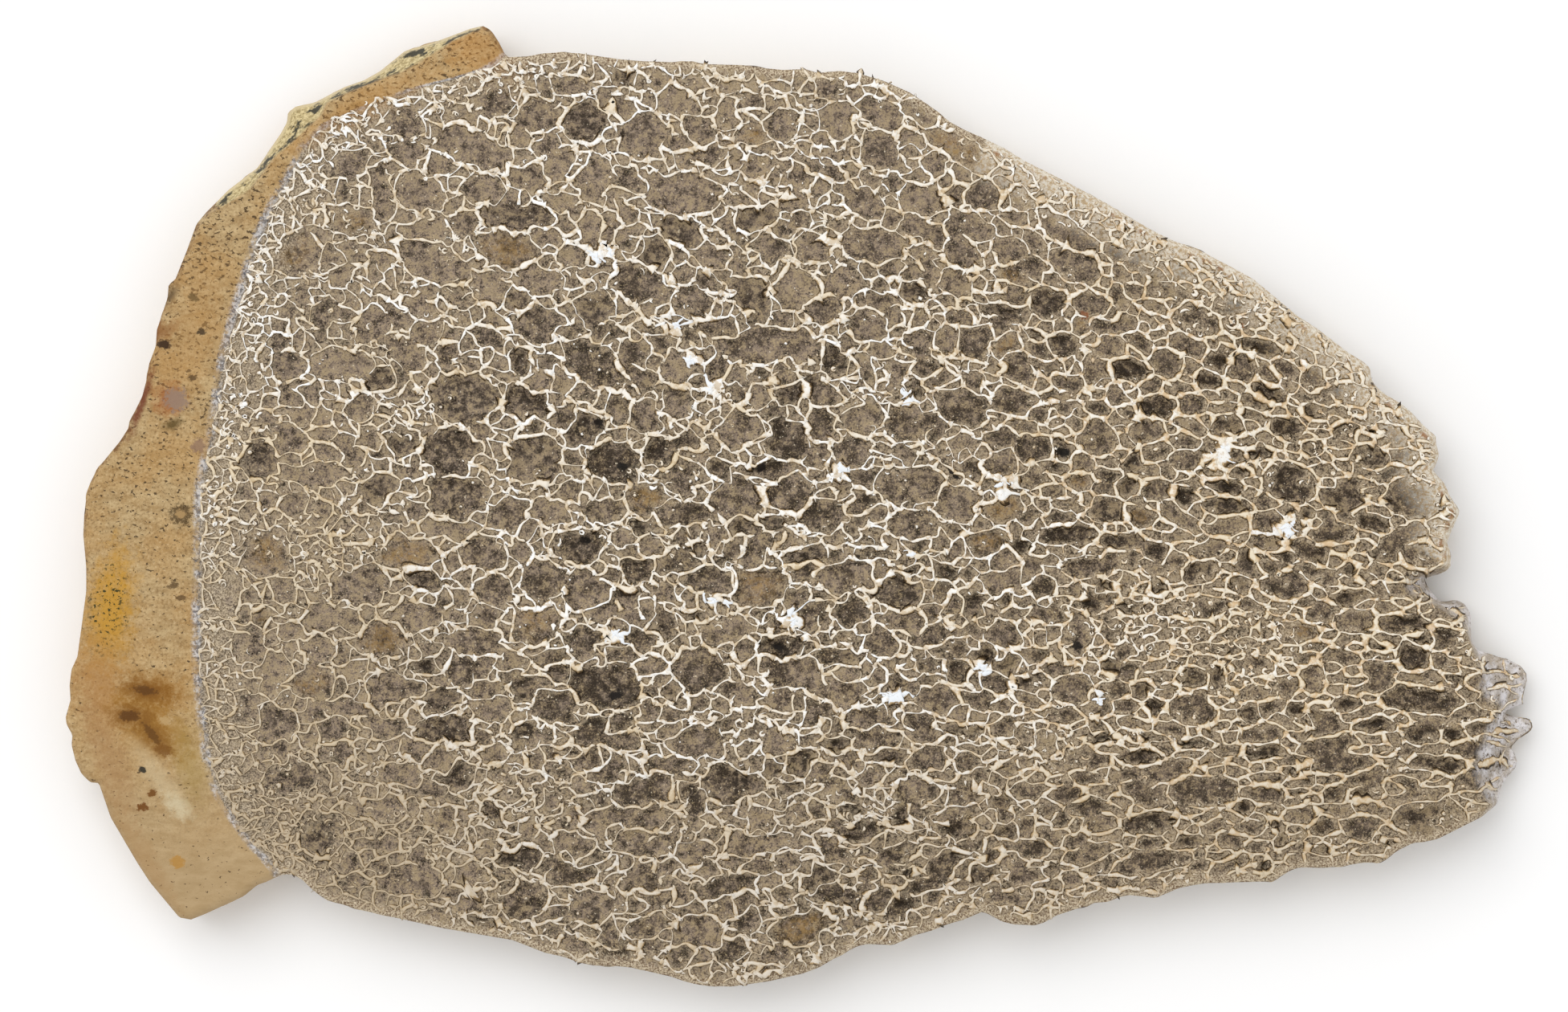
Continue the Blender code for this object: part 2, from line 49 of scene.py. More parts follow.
# Outline of the face in mm, clockwise from the top left tip
OUTLINE = (
    (-32.6, 49), (-31.6, 48.3), (-30.9, 47.2), (-30.3, 46), (-29.9, 45.7), (-27.9, 45.8), (-26.4, 46.1),
    (-24.5, 46.2), (-22.7, 46.1), (-18.7, 45.5), (-16.3, 45.3), (-13.3, 45.2), (-11.1, 45.3), (-10.1, 45),
    (-6, 44.9), (-4, 44.6), (-1.9, 44.4), (0.3, 44.5), (1.6, 44.1), (3.8, 44.3), (5.6, 44.1), (8.3, 43.3),
    (11, 42.1), (12.2, 41.3), (15.1, 39.1), (16.4, 38.4), (18.9, 37.3), (20.8, 36.4), (22.7, 35.2),
    (26.9, 33.1), (31.2, 30.8), (35.9, 28), (38, 27), (40.7, 26), (44.9, 23.8), (46.1, 23.1), (50.7, 19.3),
    (52.7, 18), (55.8, 15.6), (57.3, 14.7), (58, 14.1), (58.2, 12.9), (58.7, 12.1), (59.7, 11.3),
    (61.1, 10.5), (62.2, 9.6), (63.2, 8.5), (64.7, 7.1), (64.8, 6.3), (65.1, 5.3), (64.9, 4.5), (64.5, 3.6),
    (64.9, 3.1), (65.7, 2.2), (66.2, 1), (67.2, -0.6), (67.1, -0.9), (66.7, -1.9), (66.3, -2.7), (65.9, -3.9),
    (66.2, -4.5), (66.3, -5.2), (66.3, -6.3), (65.9, -6.7), (65.2, -7.1), (63.8, -7.4), (64.2, -8.3),
    (65.5, -9.8), (66.2, -9.9), (67.3, -9.7), (68.1, -10.1), (68.7, -11), (68.8, -14), (69.4, -14.8),
    (71, -15.4), (72.6, -15.8), (73.8, -16.5), (74.4, -17.3), (74.5, -18), (74.1, -19.2), (73.9, -19.9),
    (74.1, -20.4), (73, -20.8), (72.2, -21.3), (72.3, -21.5), (74.7, -22), (75, -22.6), (74.8, -23),
    (73.5, -24), (72.8, -24.8), (73.3, -25.6), (73.5, -26.3), (73.3, -27), (72.6, -27.7), (71.8, -28.8),
    (71.3, -30.5), (70.4, -31.1), (69.3, -31.8), (66.2, -33.3), (64.8, -34), (63.4, -34.3), (62.3, -34.4),
    (60.7, -35.2), (59.7, -36), (58.9, -36.4), (57.2, -36.4), (55.4, -36.7), (53.5, -36.9), (50.7, -36.9),
    (49.8, -37.2), (48.7, -37.9), (47.9, -38.3), (41.1, -38.5), (39.9, -38.7), (38.4, -39), (36.1, -40),
    (33.4, -39.7), (32.4, -39.9), (31.2, -40.4), (29.8, -40.5), (25.9, -41.8), (24.7, -42.5), (23.7, -42.8),
    (21.6, -42.7), (20.4, -42.4), (19.1, -41.7), (18.4, -41.4), (16.5, -42.2), (14.8, -42.7), (13.3, -43.3),
    (11.5, -43.8), (10, -44.5), (9.2, -44.8), (6.7, -44.7), (5.7, -44.9), (4.3, -45.6), (1.7, -47.1),
    (0.1, -47.7), (-3.4, -48.5), (-7, -49), (-9.4, -49), (-10.8, -48.8), (-12, -48.5), (-13.4, -48),
    (-17.4, -47.1), (-19.3, -46.9), (-21.2, -46.9), (-22.7, -46.6), (-24.3, -46), (-26.2, -45.6),
    (-29.5, -44.3), (-36.5, -43.1), (-44.7, -41.3), (-48.4, -40.2), (-50, -39.1), (-51, -38.1), (-52, -37.6),
    (-53.1, -37.6), (-55.6, -38.7), (-56.9, -39.8), (-60.8, -41.6), (-62.3, -42.2), (-63.5, -42),
    (-66.5, -38.4), (-67.8, -36.4), (-70.5, -31.8), (-71.7, -28.3), (-72.6, -28.2), (-73.5, -27.3),
    (-74.1, -26), (-74.5, -24.4), (-74.4, -23.4), (-75, -22.3), (-75.1, -21.6), (-74.6, -19.8),
    (-74.7, -18.3), (-74.5, -16.7), (-73.9, -15.4), (-73.3, -11), (-73, -8.7), (-73, -6.3), (-73.3, -3),
    (-73.2, -0.9), (-73, 0.8), (-72.6, 2.3), (-71.9, 3.7), (-69.6, 6.5), (-68.7, 7.9), (-68.6, 8.6),
    (-68.1, 9.5), (-67.3, 11.1), (-66.9, 12.6), (-66.6, 14.4), (-65.9, 16.3), (-65.8, 17.9), (-65.4, 19.1),
    (-64.7, 21.2), (-64.6, 22.5), (-63.9, 23.1), (-62.7, 26.1), (-61.8, 28.7), (-61, 29.8), (-58.7, 32.3),
    (-55.8, 34.6), (-53.4, 38.2), (-52.8, 39.3), (-52.7, 40.3), (-51.9, 40.9), (-50, 41.3), (-46.9, 42.9),
    (-44.9, 43.6), (-43.3, 44.5), (-40.7, 46.6), (-37.3, 47.6), (-33.9, 48.8),
)

# Lines where the flat face ends and the weathered or broken slope begins
WEATHERED_CREASE = (
    (-59.2, 30.1), (-57.7, 31.1), (-56.2, 32), (-54.9, 33.8), (-53.6, 35.4), (-52, 36.7), (-50.5, 38.1),
    (-48.9, 39.6), (-48.4, 40.9), (-46.9, 41.6), (-44.8, 42.5), (-42.5, 43.4), (-40.7, 44), (-38.6, 45.2),
    (-36.5, 46.5), (-35.5, 47.2),
)
BREAK_CREASE = (
    (62.4, -6.7), (61.3, -7.7), (61.6, -8.9), (63.2, -9.7), (65.2, -10.7), (66.5, -11.5), (67.6, -12.5),
    (68.1, -13.9), (68.6, -15.2), (69, -16.8), (68.8, -18.5), (69.6, -19.8), (71.1, -20.5), (70.3, -21.6),
    (69.6, -22.5), (69.3, -23.9), (68.6, -25), (68.3, -26.6), (68.6, -28.3), (69.3, -29.5), (69.4, -30.6),
)

# Each stretch of the outline: its first point, the height of its lip, and its crease if it has one
STRETCHES = (
    (0, 7.6, None), (26, 6.8, None), (40, 6.4, None), (64, 3.4, BREAK_CREASE), (96, 7.5, None),
    (157, 7.5, None), (202, 4.6, WEATHERED_CREASE),
)
WORN_CORNER = 0.55

# Border between the outer bone and the spongy bone, from top to bottom
RIM_LINE = (
    (-30.2, 45.6), (-32.6, 44.5), (-35.9, 43.3), (-39.2, 42.2), (-42.5, 41.8), (-45.7, 40.7), (-48.2, 39.4),
    (-50.2, 37.2), (-51.6, 34.7), (-53.3, 31.9), (-54.6, 29.4), (-55.7, 26.5), (-56.9, 22.9), (-57.9, 19.2),
    (-58.7, 16.3), (-59.4, 13), (-59.7, 10.2), (-60.3, 6.5), (-61.3, 2.4), (-61.4, -1.7), (-61.4, -5.8),
    (-61.6, -9.9), (-61.6, -13.9), (-61.4, -18), (-61, -22.1), (-60.5, -26), (-59, -30.3), (-56.9, -33.5),
    (-54.3, -36.4), (-53.3, -37.6),
)

# Marrow cells as x, y, half length, half width, and turn in degrees where a cell is turned
GREY_CELLS = (
    (-58.7, -9, 1.4, 2), (-56, 13.5, 1.3, 1.6), (-53.9, -17.2, 1.4, 2.1), (-53.5, -22.3, 2.1, 1.9),
    (-52.7, -8.6, 1.3, 1.4), (-52.7, 19.8, 1.4, 0.8), (-52.3, -27.9, 2.4, 1.7), (-52.3, 14.3, 1.6, 1.7),
    (-52.1, 0.2, 1.3, 0.9), (-52.1, 6.9, 2, 1.5), (-51.6, 32.5, 0.7, 0.9), (-50, 11.1, 0.9, 1.1),
    (-49.8, 3.2, 3.8, 1), (-49.4, -14.8, 1.7, 1.4), (-49.2, -0.7, 0.9, 1), (-48.6, 7.3, 1.1, 1.1),
    (-48.2, -11.5, 3, 1.1), (-47.9, 19.5, 2.1, 0.9), (-47.5, -25.5, 2.1, 1.1, 10), (-47.4, 14.3, 2.9, 1.3),
    (-46.7, -20.7, 2.7, 1.1), (-46.7, 23.4, 1, 1.3), (-46.5, 34.7, 2.5, 1.2, 20), (-46.1, -38.5, 1.7, 1.1),
    (-46.1, -16.9, 1.6, 1.1), (-45.3, -8.1, 2.8, 1.7), (-45.2, 10, 1.2, 1.3), (-43.8, 18.6, 1.6, 1.4),
    (-43.4, -31, 2.6, 1.1), (-42.9, 31.9, 1.1, 2.7), (-42.6, -27.5, 4.1, 1.1, 3), (-42.4, -34.8, 1, 0.8),
    (-42.3, -22.5, 2.4, 1.3), (-41.8, -18.6, 2.6, 1.5, 10), (-40.8, 39.2, 2.2, 1.5), (-40.4, 36, 2.2, 1),
    (-40.2, 11.2, 0.8, 1.3), (-40.2, 15.3, 1.7, 1.6), (-40, -38.5, 3.6, 1.7, 3), (-39.4, -33.5, 1.1, 0.8),
    (-39.2, -11.1, 2.8, 1.4), (-38.8, 28.1, 2, 0.7), (-38.8, 31.9, 2.5, 2, -30), (-38.5, 20.1, 2.1, 1.3, -25),
    (-37.8, -42, 1.7, 0.7, -5), (-37.5, 24.9, 3.9, 2.1, -22), (-37.1, -31.9, 2.1, 1.1, -15),
    (-36.2, 15.1, 1.1, 1.6), (-35.9, -2.3, 3.1, 1.1), (-35.1, 39.8, 1.9, 1.2, -20), (-34.7, 28.6, 1.2, 1.7),
    (-34, -37.7, 1.7, 1), (-33.5, -13.9, 3.3, 1.5), (-33.5, 36.4, 4.1, 1.6, -22), (-32.9, 32.4, 1.7, 1.4),
    (-32.6, -18.6, 2, 0.7), (-32.6, -4.9, 2.2, 1.7), (-32.1, 17.1, 2.2, 1.1, -30), (-32.1, 22, 1.7, 1.6),
    (-31.7, 41.3, 2, 2, -40), (-31.5, -20.8, 2.6, 1.2, 5), (-31.4, -8.9, 2, 1.8), (-30, -0.9, 2, 1.5),
    (-29.6, -15.7, 1.5, 1.3), (-29, 43.5, 1.4, 1), (-28.7, -4.5, 1.1, 1.4), (-28.5, -40.5, 2, 2),
    (-28.1, 33.1, 2, 1.6), (-27.1, -25.7, 1.1, 1), (-27.1, 18.4, 2.5, 1.6, -8), (-27.1, 22.7, 2.8, 1.3),
    (-26.9, 39.6, 2.5, 1.6), (-26.5, 1.4, 0.7, 0.7), (-26.4, -7.6, 2.1, 2), (-26.2, -23.6, 0.4, 0.6),
    (-25.9, -0.6, 1.9, 1.4), (-25.9, 14.7, 1, 0.8), (-25.5, -15.5, 2, 0.7), (-25.4, -20.5, 2.6, 1.6, 10),
    (-24.9, 34.6, 1.1, 1.8), (-24.3, 12.7, 1, 1.1), (-23.9, 1.4, 1.1, 1), (-23.8, -27.3, 1.9, 0.6),
    (-23.5, -44.8, 1.7, 0.8, -10), (-23.5, 25.2, 1.6, 0.9), (-23.2, -37.5, 2.6, 0.9, 8),
    (-23.1, -11.1, 0.9, 0.7), (-23.1, 42.8, 2.7, 1), (-22.4, -13.9, 2, 1.5), (-21.9, -8.3, 2.1, 1.9),
    (-21.6, 27.8, 1.2, 1.5), (-21.2, -40.9, 2.8, 1.4, 5), (-21.2, 14.4, 3.6, 2.2, -38),
    (-21.2, 33.1, 1.7, 2.2), (-20.8, -0.6, 2.5, 1.2), (-20.4, -23.8, 3.9, 1), (-20.4, -11.2, 1.5, 0.6),
    (-19.1, -45.7, 2.4, 0.9), (-18.7, -12.2, 1.1, 0.6), (-18.6, 10.2, 1.1, 1), (-18.5, -3.3, 1.1, 0.7),
    (-18.2, 40.9, 1.1, 0.9), (-18.1, -4.8, 1.6, 0.5), (-17.9, 29.8, 1.1, 1.1), (-17.1, 15.5, 1.5, 1.3),
    (-17.1, 23.1, 2.3, 2), (-16.3, -29.1, 3.4, 1.4, 12), (-16.3, -13.7, 2, 1.1), (-16.3, 37.6, 2.5, 1.9),
    (-16, -34.4, 3.8, 1.1, 3), (-16, 13, 1.3, 1.4), (-15.9, 9, 1.4, 1.8), (-15.6, -43, 1.9, 1.1, 15),
    (-15.5, 41.7, 0.7, 0.7), (-13.8, -9.1, 1.1, 1.3), (-13.6, -26.4, 2.5, 1), (-13, -21.3, 2.1, 0.7),
    (-13, 41.3, 1.8, 1.1), (-12.8, 13.7, 1.5, 1.8), (-12.5, -13.9, 1.1, 0.9), (-12.4, 3, 2.3, 1.4),
    (-12.2, 31.9, 3.9, 2, -10), (-12, -0.9, 2.5, 1.1), (-12, 6.5, 1.5, 1.1), (-11.5, 43.1, 1.9, 0.9, -10),
    (-11.4, 20.9, 1.9, 1.6), (-10.7, -24.2, 2.5, 1.6), (-10.6, -43.4, 2.8, 1.6, 8), (-10.6, -19.9, 0.9, 0.7),
    (-10.6, -16.6, 2.7, 2.3), (-10.4, 38.4, 1.8, 1.6, -15), (-9.9, -7.6, 2, 1.3), (-8.8, -2.7, 0.9, 0.7),
    (-8.8, 14, 1, 1.1), (-8.2, -20.3, 0.9, 0.8), (-7.7, -38.7, 3.6, 1.1, 14), (-7.7, -12.6, 2.8, 1.3),
    (-7.7, 5, 1.1, 0.7, -10), (-7.7, 40, 1.1, 1.1), (-7.2, -4.3, 0.7, 0.6), (-6.9, 11.5, 0.9, 0.8),
    (-6.6, 0.4, 2.9, 2, -5), (-6.5, 7.7, 1.9, 1.8), (-5.9, -42.6, 1.6, 0.9, 5), (-5.6, -25, 1, 0.4),
    (-5.6, -19.8, 1.1, 0.9), (-5.5, -16.8, 1.2, 1, 20), (-5.4, -5.4, 1.2, 0.6), (-4.8, -34.4, 3.3, 1.1, 5),
    (-4.8, -22.5, 1.1, 0.7), (-4.8, 34.6, 1.3, 1.1), (-4.4, 11.3, 1.1, 0.7), (-4.3, 13.2, 1.1, 0.8),
    (-4.2, -4, 1.3, 0.9), (-3.9, -31.7, 1.6, 0.9), (-3.8, 16.2, 5.1, 1.7), (-3.4, 9.5, 1.5, 0.7),
    (-3.2, 26.1, 2, 1.5), (-2.8, -19.7, 1.6, 0.9), (-2.4, -45.8, 3.3, 0.7, 12), (-2.4, -23.9, 1.8, 1.6, 20),
    (-2, 12.8, 0.9, 0.6), (-2, 38.7, 1.6, 1.4, -30), (-1.8, -36.4, 1.3, 0.7), (-1.5, -3.7, 0.7, 0.7),
    (-1.1, 1.3, 2.3, 1.5), (-0.9, 41.8, 1.8, 0.7), (-0.7, -31.6, 1, 1.1), (-0.6, -17.2, 3.1, 1.6),
    (-0.6, 22.2, 1.8, 2.3), (-0.6, 30.9, 1.7, 1.2, -10), (0.1, -6.9, 1.5, 1.1), (0.5, -34, 0.9, 0.7),
    (0.7, -11.6, 1.1, 1), (0.9, -21.6, 1.1, 0.7), (1.4, -31.4, 0.8, 1), (1.4, 12.1, 2.4, 0.9, -38),
    (1.4, 26.3, 2, 1.1), (1.6, 4.9, 1, 1), (1.6, 34.5, 2.9, 1.1, -25), (2, 8.1, 1.4, 2),
    (2.3, -0.9, 2.5, 1.4), (2.3, 19.8, 1.6, 1.3), (2.9, 42.7, 1.6, 0.8), (3, 28.8, 1, 0.7),
    (3.4, -28.9, 1.8, 1, 5), (3.4, 39.5, 2, 1.8), (3.7, -3.4, 1.1, 0.7), (3.8, -35.7, 3.6, 0.6, 8),
    (4.2, 1.8, 1, 0.7), (4.2, 22.7, 2.5, 1.5), (4.3, -19, 2.7, 1.3), (4.6, -7.4, 2.7, 1.6),
    (4.8, -10.8, 1.8, 1.3), (5, -42.4, 1.6, 0.7, 15), (5.2, 5.7, 1.8, 1.5), (6.2, 8.8, 1.8, 1.6),
    (6.4, 30.7, 2.1, 0.9, -20), (6.5, -37.6, 1, 0.7), (6.5, -3.4, 0.7, 0.7), (6.5, 0.6, 1.8, 1.1),
    (6.6, 18.3, 2.2, 1.6, -15), (6.8, -21.8, 2.3, 1), (6.9, -27.5, 1.4, 0.8, 5), (7.4, -4.9, 1.8, 0.8),
    (7.4, 27, 3.6, 1.7, -10), (7.5, 11.2, 1.2, 0.9), (7.8, 36.3, 2, 1.5, -25), (7.9, -23.8, 2.5, 0.6, 3),
    (8, -2.8, 0.7, 0.5), (8.1, -13.9, 1.6, 1.1), (8.2, -7.1, 0.7, 0.7), (8.3, 20.7, 1.5, 1),
    (8.3, 40, 2.5, 1.3, -20), (8.8, -16.3, 0.9, 0.9), (9.8, -18.4, 1.6, 0.7), (9.9, -11.9, 2.5, 1, -6),
    (10.1, 17.7, 0.7, 0.5), (10.2, 5.5, 1.3, 0.7), (10.7, 8.4, 2.4, 1.7, -10), (11.1, 2.3, 3.4, 1.7, -3),
    (11.4, -1.8, 2.8, 1.3, -6), (11.5, -29.1, 2, 1.5), (11.9, 19.3, 0.8, 0.8), (12, -22, 1.6, 0.7),
    (12, 16.9, 1.6, 1), (12, 33.8, 1.2, 0.6), (12.1, -4.4, 0.9, 0.7), (12.4, 31.5, 2.3, 1.8),
    (12.5, -31.4, 1.1, 0.6), (12.5, -23.7, 1.6, 0.5), (12.5, 25.3, 1.4, 1.1), (12.6, 14.4, 1.5, 1),
    (13, -25.8, 1.8, 1.1, 5), (13.4, -10.8, 1.1, 1.1), (13.7, -19.8, 2.3, 1, -5), (14.2, 5.5, 1, 1.1),
    (14.9, 17.1, 1, 1.2), (15, -14.7, 1.8, 0.7, -10), (15.7, 14.7, 1, 0.8), (15.7, 31.5, 0.9, 1.2),
    (15.8, 0.3, 2.4, 1.4), (16, -39.8, 1.6, 0.6, 5), (16.3, 9.8, 2.8, 2), (16.3, 25.7, 2, 1.6, -20),
    (16.5, -29.7, 2.1, 1, 5), (16.6, 6.3, 1.1, 0.7), (16.9, -12.8, 1.8, 0.7), (16.9, 3.7, 1.5, 1.1),
    (16.9, 28.6, 2.4, 1.1, -30), (17.3, -26.3, 1.5, 0.8), (17.3, -24.6, 1.7, 0.3), (17.3, 12.7, 1.1, 1),
    (17.7, 16.7, 1.7, 1.6), (17.8, -19.9, 1.4, 1.1), (18.5, 31.5, 1.6, 1.6), (19.5, 13.9, 0.8, 0.7),
    (20, -18.2, 1.5, 1.1, -20), (20, 6.7, 1.7, 1.1), (20.2, 4.3, 1.4, 1.2), (20.4, -20.6, 1.1, 0.7),
    (20.4, -7.6, 2.1, 1.3), (20.5, -22.6, 1.1, 0.7), (20.5, -13.2, 1.7, 1.6), (21.2, 26.3, 1.8, 0.9, -25),
    (21.5, 10.6, 2.5, 0.9, -5), (21.6, 29.4, 1.3, 1.1), (22, 13.8, 1.8, 1.5), (22.8, -37.9, 1.8, 0.7),
    (23, -32.8, 0.8, 0.7), (23.1, -1.1, 0.8, 1), (23.4, -29.1, 1.8, 0.7), (23.5, -15.2, 1.3, 1.2),
    (23.6, 5.7, 1.7, 1.6), (23.8, 2.9, 1.7, 0.8), (24.2, 9.2, 0.9, 0.7), (24.5, -13.5, 0.6, 0.6),
    (24.6, -8.3, 1.2, 1.1), (24.8, -31, 1.1, 0.7), (24.9, -24.2, 1.2, 1.1), (24.9, -11.3, 1.8, 0.9),
    (25.7, -34, 1.1, 0.5), (25.8, -14.8, 0.7, 0.7), (25.8, -13, 0.6, 0.8), (26.1, -1.3, 1.6, 0.6),
    (26.7, 0.1, 1.3, 0.7), (27.1, 27.8, 3.6, 1.5, -33), (27.3, -38.2, 1.1, 0.7), (27.5, -18.8, 2, 1.3),
    (27.9, 24.3, 2.8, 1.3, -25), (28.1, -25.2, 1.8, 0.6, 5), (28.1, -13, 1.4, 2.5), (28.9, -6.4, 2.5, 1, -5),
    (29.1, -27.8, 1.6, 0.8, 5), (29.3, -16.6, 0.8, 0.8), (29.4, 20.6, 1.6, 1.3), (29.7, 13.9, 1.2, 1.4, -20),
    (30, -22.5, 1.1, 0.6), (30, -20.7, 1.5, 0.7), (30.2, 6.8, 1.8, 1.6), (31, 3.1, 1.3, 0.7, -10),
    (31, 4.4, 1.3, 0.6, 5), (31.2, 16.2, 2, 1), (31.3, -38.2, 2, 0.7, -5), (31.8, -18.7, 1.5, 0.9),
    (32.1, 11.1, 1, 1), (32.8, 18.5, 1.1, 0.9), (33, -8.1, 0.7, 1), (35.1, 7.5, 1.7, 1.1),
    (35.3, 3.6, 0.9, 0.7), (36.2, 1.6, 1.5, 0.9), (36.4, -14.8, 1.2, 0.7), (37.1, 14.5, 1.7, 1.4),
    (38.9, 6.5, 1.2, 0.7), (39.3, 4.5, 1.5, 1), (39.7, -20.9, 2.4, 1.6, -15), (39.8, 10.3, 1.4, 1),
    (40.2, -10.4, 3.7, 1.1, 3), (40.2, 18.8, 2.5, 1.6, -15), (40.4, -13.1, 1.5, 0.5), (41, -29.1, 3.6, 1.5),
    (41.8, 5.9, 1.3, 0.7), (44, 20.4, 2, 1), (44.3, -27.2, 1.1, 0.7), (44.7, 13.4, 1.1, 0.5, -15),
    (45.5, -32.8, 1.4, 0.7, 8), (45.9, -16.4, 2.2, 1.1), (46, 18.7, 1.3, 0.7, -10),
    (46.7, -34.9, 1.3, 0.6, 15), (47.4, -1.7, 1.6, 1.1, 10), (47.8, -31.1, 1.2, 0.4, -5),
    (48.5, 18.4, 0.9, 0.7), (49.2, -18, 1.3, 0.7), (49.2, -8.2, 2.4, 1.3), (49.2, 13.9, 1.1, 0.7, -10),
    (52, -17.6, 1.3, 1.6), (52.1, 13, 1.1, 1.4), (53, 3.7, 1.2, 0.6, -10), (53.7, -24.4, 3.1, 0.9, 12),
    (54, -2.8, 2.6, 0.9), (55.1, -15.4, 2.1, 0.7, -10), (55.2, 4.1, 0.8, 0.4, -25),
    (55.4, -26.4, 3.5, 0.7, 5), (56, 11.3, 2.2, 1, -15), (56.5, -11.8, 2.1, 1.2), (57, -32.8, 1.9, 1.2),
    (57.5, -7.1, 0.8, 0.4), (58.8, -16.6, 1.6, 0.7), (61.5, 5, 1.5, 0.7, -5), (62.4, -2.6, 1.6, 0.4),
    (63.3, -5.1, 2, 1.4), (65.7, -15.8, 1.3, 0.5), (70.3, -22.5, 2.5, 0.4, -2), (71.1, -19.8, 2.2, 0.8, 5),
)
